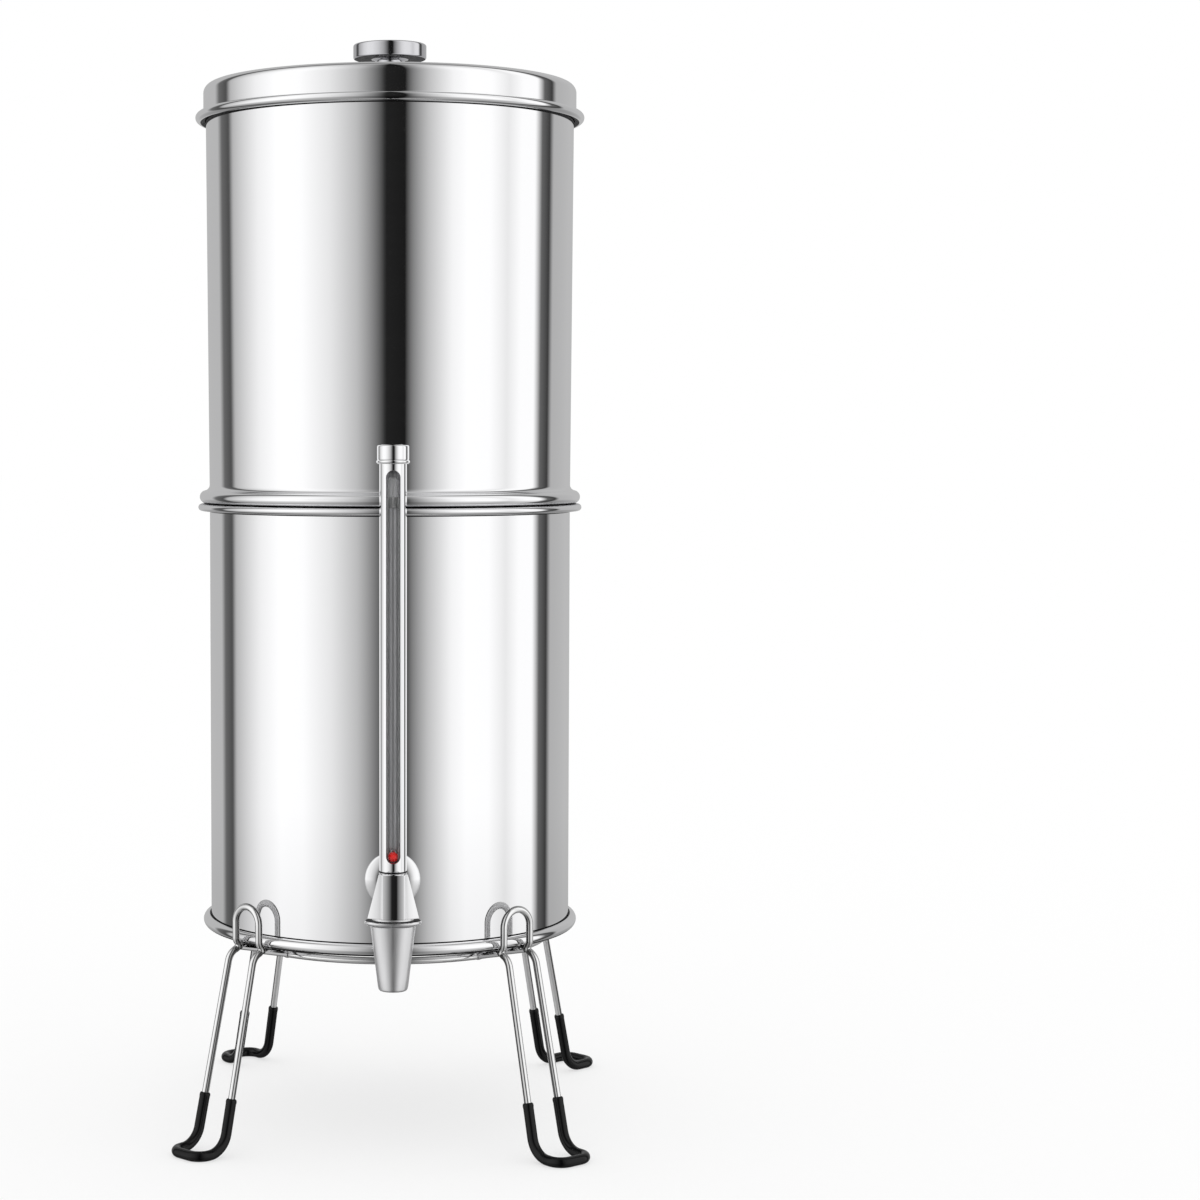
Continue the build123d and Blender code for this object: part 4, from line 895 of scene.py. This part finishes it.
def oval(name, rings, inner, steps=96):
    """Turn rings of (half width, half depth, height), and stretch each sideways to an oval."""
    section = [(depth, height) for _, depth, height in rings] + inner
    piece = turn(name, upright(section, TAP_Y), tap_axis, steps=steps)
    bpy.ops.object.mode_set(mode="EDIT")
    bpy.ops.mesh.select_mode(type="VERT")
    for width, depth, height in rings:
        if abs(width - depth) < 0.001:
            continue
        bpy.ops.mesh.select_all(action="DESELECT")
        choose(piece, lambda co: (
            abs(co.z - height) < 0.01 and abs(hypot(co.x, co.y - TAP_Y) - depth) < 0.02))
        bpy.ops.transform.resize(value=(width / depth, 1, 1),
                                 center_override=Vector((0, TAP_Y, height)) * MM)
    bpy.ops.object.mode_set(mode="OBJECT")
    return piece


def spout(height):
    """Half width and half depth of the spout at a height."""
    share = (height - NOZZLE_BOTTOM) / (flange_low + 0.5 - NOZZLE_BOTTOM)
    width = NOZZLE_RADIUS + (NOZZLE_WIDTH - NOZZLE_RADIUS) * share
    return width, NOZZLE_RADIUS + 0.3 * share, height


flange_arc = arc((0, flange_low + FLANGE_THICK / 2), FLANGE_ROUND, 90, -90, 12)
rings = [(FLANGE_WIDTH - 2.4, FLANGE_DEPTH - 2.4, flange_top)]
rings += [(FLANGE_WIDTH - FLANGE_ROUND + across, FLANGE_DEPTH - FLANGE_ROUND + across, height)
          for across, height in flange_arc]
rings += [(spout(flange_low)[0] + 0.5, spout(flange_low)[1] + 0.5, flange_low - 0.05)]
rings += [spout(height) for height in (
    flange_low - 0.6, flange_low - 1.6, 125, 115, 106, NOZZLE_BOTTOM + 2.2)]
lip_arc = arc((NOZZLE_RADIUS - NOZZLE_LIP, NOZZLE_BOTTOM + NOZZLE_LIP), NOZZLE_LIP, 0, -90, 12)
rings += [(across, across, height) for across, height in lip_arc]
nozzle_bore = [(NOZZLE_BORE, NOZZLE_BOTTOM + 0.2), (NOZZLE_BORE, NOZZLE_BOTTOM + 1.2),
               (NOZZLE_BORE, flange_top)]
nozzle = oval("cast_nozzle", rings, nozzle_bore)
fit(nozzle, "lower_tank", "tap_chrome", satin_chrome, "nozzle")
# Painted shade on the flange's top, in the gap under the lever.
refinish(nozzle, painted_shade_steel, lambda r, z, out, up: z > flange_top - 0.42, TAP_Y)

# %% [markdown]
# The cover plate behind the tap is a shallow dish, turned about the shank's level axis.

# %% Cover plate
PLATE, PLATE_THICK, PLATE_HOLLOW, SHANK, WASHER_THICK = 15.6, 3.4, 2.2, 7.8, 2.8
plate_face = -LOWER_RADIUS - WASHER_THICK + PLATE_HOLLOW
plate_dome = [(across, PLATE_THICK - 1.9 * ((across - 8) / (PLATE - 8.6)) ** 2)
              for across in (14.9, 14.6, 14.0, 13.0, 12.0, 11.0, 10.0, 9.0, 8.0)]
plate_section = [(SHANK + 0.05, PLATE_HOLLOW), (11.0, PLATE_HOLLOW - 0.8), (PLATE - 1.0, 0.0),
                 (PLATE, 0.0), (PLATE, 0.7), (PLATE - 0.12, 1.05), (PLATE - 0.4, 1.35),
                 *plate_dome, (SHANK + 0.05, PLATE_THICK)]
plate_points = [(across, plate_face - depth, SHANK_Z)
                for across, depth in [*plate_section, plate_section[0]]]
plate = turn("tap_cover_plate", plate_points, (0, 0, SHANK_Z), (0, 1, 0), steps=96)
fit(plate, "lower_tank", "tap_chrome", chrome, "escutcheon")

# %% [markdown]
# The lever is a flared paddle with a half-round column up its middle. A grid gives rows and
# columns of vertices. Each is moved to the paddle's outline and out to its face: a gentle bow on
# the two flanks, and a tighter one on the column. Extruding the grid backwards gives it body.

# %% Lever
LEVER_TOP, LEVER_BOTTOM, LEVER_TOP_WIDTH, LEVER_LOW_WIDTH = 165.8, 140.9, 8.0, 14.3
LEVER_COLUMN, COLUMN_BOW, COLUMN_ROUND, COLUMN_FRONT = 6.9, 27.0, 0.9, -142.55
LEVER_BACK, LEVER_BOW, LEVER_THICK, FLANK_RISE, COLUMN_SIDE = -136.4, 28.0, 3.2, 4.2, 84
bow_centre = LEVER_BACK - FLANK_RISE + LEVER_BOW
ROWS = (0, 0.02, 0.05, 0.5, 0.95, 0.98, 1)
FLANK = (1, 0.97, 0.75, 0.5, 0.25, 0.06)


def soften(piece, width, segments=2, angle=40):
    """Break the sharp edges of a piece with a bevel."""
    lone(piece)
    edge = piece.modifiers.new("soft_edges", "BEVEL")
    edge.width = width * MM
    edge.segments = segments
    edge.limit_method = "ANGLE"
    edge.angle_limit = radians(angle)
    bpy.ops.object.modifier_apply(modifier=edge.name)


def lever_front(across):
    """How far forward the flanks' bowed face is at a distance from the lever's middle."""
    return bow_centre - sqrt(LEVER_BOW ** 2 - across ** 2)


def rib_line():
    """The column's outline, seen from above: a steep side, a rounded corner and a shallow bow."""
    half = LEVER_COLUMN - COLUMN_ROUND
    bow = [half * k / 8 for k in range(9)]
    front = [(across, COLUMN_FRONT + COLUMN_BOW - sqrt(COLUMN_BOW ** 2 - across ** 2))
             for across in bow]
    tilt = degrees(asin(half / COLUMN_BOW))
    middle = (half - COLUMN_ROUND * sin(radians(tilt)),
              front[-1][1] + COLUMN_ROUND * cos(radians(tilt)))
    turns = [radians(tilt + (COLUMN_SIDE - tilt) * k / 5) for k in range(1, 6)]
    corner = [(middle[0] + COLUMN_ROUND * sin(angle), middle[1] - COLUMN_ROUND * cos(angle))
              for angle in turns]
    root = corner[-1][0] + 0.1
    right = front + corner + [(root, lever_front(root))]
    return [(-across, depth) for across, depth in reversed(right[1:])] + right


rib = rib_line()
edge_of_column = rib[-1][0]
bpy.ops.object.select_all(action="DESELECT")
columns = 2 * len(FLANK) + len(rib)
bpy.ops.mesh.primitive_grid_add(x_subdivisions=columns - 1, y_subdivisions=len(ROWS) - 1, size=2)
lever = bpy.context.object
lever.name = lever.data.name = "flared_lever"
order = sorted(lever.data.vertices, key=lambda vertex: (round(vertex.co.y, 4), vertex.co.x))
for index, vertex in enumerate(order):
    row, column = divmod(index, columns)
    height = LEVER_BOTTOM + (LEVER_TOP - LEVER_BOTTOM) * ROWS[row]
    half = LEVER_LOW_WIDTH + (LEVER_TOP_WIDTH - LEVER_LOW_WIDTH) * ROWS[row]
    if column < len(FLANK):
        across = -(edge_of_column + (half - edge_of_column) * FLANK[column])
        depth = lever_front(across)
    elif column >= columns - len(FLANK):
        across = edge_of_column + (half - edge_of_column) * FLANK[columns - 1 - column]
        depth = lever_front(across)
    else:
        across, depth = rib[column - len(FLANK)]
    vertex.co = Vector((across, depth, height)) * MM
bpy.ops.object.mode_set(mode="EDIT")
bpy.ops.mesh.select_all(action="SELECT")
bpy.ops.mesh.extrude_region_move(TRANSFORM_OT_translate={"value": (0, LEVER_THICK * MM, 0)})
bpy.ops.mesh.select_all(action="SELECT")
bpy.ops.mesh.normals_make_consistent(inside=False)
bpy.ops.object.mode_set(mode="OBJECT")
soften(lever, 0.45, segments=3, angle=50)
print("lever paddle", len(lever.data.polygons), "faces")

# %% [markdown]
# Behind its top the paddle has what makes it a lever: two cheeks beside the body's lugs, a knuckle
# between them that turns on the pin, and a neck that ends in a round nose on the push rod's head.
# They start as a block and a barrel, which are set to size and have their edges softened.

# %% Lever hinge
PIVOT_Y, PIVOT_Z, ROD_Y, NOSE, NOSE_Z = -136.0, 162.0, -129.0, 1.8, 161.35
LUG_OUTER, KNUCKLE, KNUCKLE_HALF, CHEEK, CHEEK_DROP, WEB = 6.35, 2.6, 3.0, 2.4, 3.6, 2.5


def block(name, low, high, edge):
    """A softened block between two corners."""
    low, high = Vector(low), Vector(high)
    bpy.ops.object.select_all(action="DESELECT")
    bpy.ops.mesh.primitive_cube_add(size=MM, location=(low + high) / 2 * MM)
    piece = bpy.context.object
    piece.name = name
    bpy.ops.object.mode_set(mode="EDIT")
    bpy.ops.transform.resize(value=high - low)
    bpy.ops.object.mode_set(mode="OBJECT")
    bpy.ops.object.transform_apply(location=True)
    soften(piece, edge, segments=3)
    return piece


def barrel(name, radius, half, y, z, edge):
    """A softened barrel that lies across, between -half and half."""
    bpy.ops.object.select_all(action="DESELECT")
    bpy.ops.mesh.primitive_cylinder_add(vertices=40, radius=radius * MM, depth=2 * half * MM,
                                        location=Vector((0, y, z)) * MM, rotation=(0, pi / 2, 0))
    piece = bpy.context.object
    piece.name = name
    bpy.ops.object.transform_apply(location=True, rotation=True)
    soften(piece, edge)
    return piece


hinge = []
for side in (-1, 1):
    left, right = sorted((side * LUG_OUTER, side * LEVER_TOP_WIDTH))
    hinge.append(block("cheek", (left, PIVOT_Y - CHEEK, PIVOT_Z - CHEEK_DROP),
                       (right, PIVOT_Y + CHEEK, LEVER_TOP - 0.2), 0.5))
hinge += [barrel("knuckle", KNUCKLE, KNUCKLE_HALF, PIVOT_Y, PIVOT_Z, 0.25),
          block("web", (-KNUCKLE_HALF, PIVOT_Y - 4, PIVOT_Z - WEB),
                (KNUCKLE_HALF, PIVOT_Y, PIVOT_Z + WEB), 0.3),
          block("neck", (-KNUCKLE_HALF, PIVOT_Y, NOSE_Z - NOSE + 0.05),
                (KNUCKLE_HALF, ROD_Y, NOSE_Z + NOSE - 0.05), 0.3),
          barrel("nose", NOSE, KNUCKLE_HALF, ROD_Y, NOSE_Z, 0.2)]
lever = join([lever, *hinge])
fit(lever, "tap_lever", "tap_chrome", chrome, "lever")
# Painted shade on the paddle's underside.
refinish(lever, painted_shade_steel, lambda r, z, out, up: up < -0.8 and z < LEVER_BOTTOM + 0.2, TAP_Y)

# %% [markdown]
# The return spring sits round the push rod, under its head. A helix of wire is drawn as one line,
# with flat end turns as a wound spring has.

# %% Return spring
SPRING_FOOT, SPRING_HEAD, COIL_RADIUS, SPRING_WIRE, VALVE_STROKE = 149.0, 158.0, 2.2, 0.35, 4.5
TURNS, STEPS_PER_TURN, END_TURN = 6, 20, 0.8


def coil_point(turned):
    """Where the wire's middle is after some turns: flat at each end, and rising between."""
    share = min(max((turned - END_TURN) / (TURNS - 2 * END_TURN), 0), 1)
    foot = SPRING_FOOT + SPRING_WIRE + 0.55 * SPRING_WIRE * min(turned / END_TURN, 1)
    height = foot + (SPRING_HEAD - SPRING_FOOT - 3.1 * SPRING_WIRE) * share
    angle = 2 * pi * turned
    return COIL_RADIUS * cos(angle), ROD_Y + COIL_RADIUS * sin(angle), height


coil = [coil_point(step / STEPS_PER_TURN) for step in range(TURNS * STEPS_PER_TURN + 1)]
spring = wire("wound_return_spring", coil, SPRING_WIRE, sides=12)
fit(spring, "lower_tank", "bare_steel", drawn_steel, "valve_spring")
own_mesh(spring)

# %% [markdown]
# ## What stays from the CAD model
# The rest is small, hidden or already right. Those solids keep their shape, and each takes the
# finish of its own material slot. The tap's body is satin, as its nozzle is.

# %% Carried-over solids
FINISH_OF_SLOT = {
    "polished_steel": mirror_steel, "bare_steel": drawn_steel, "stand_wire": chromed_wire_and_shade,
    "tap_chrome": chrome, "silicone": milky_silicone, "black_vinyl": dipped_vinyl,
    "clear_tube": clear_acrylic,
    "vent_plastic": pale_plastic, "red_float": red_plastic, "carbon": wrapped_carbon,
    "black_plastic": black_moulding, "white_plastic": white_moulding, "media": mineral_media,
}
for name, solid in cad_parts.items():
    for material_slot in solid.material_slots:
        material_slot.material = FINISH_OF_SLOT[material_slot.material.name.split(".")[0]]
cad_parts["valve_body"].material_slots[0].material = satin_chrome
print(len(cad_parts), "solids painted")
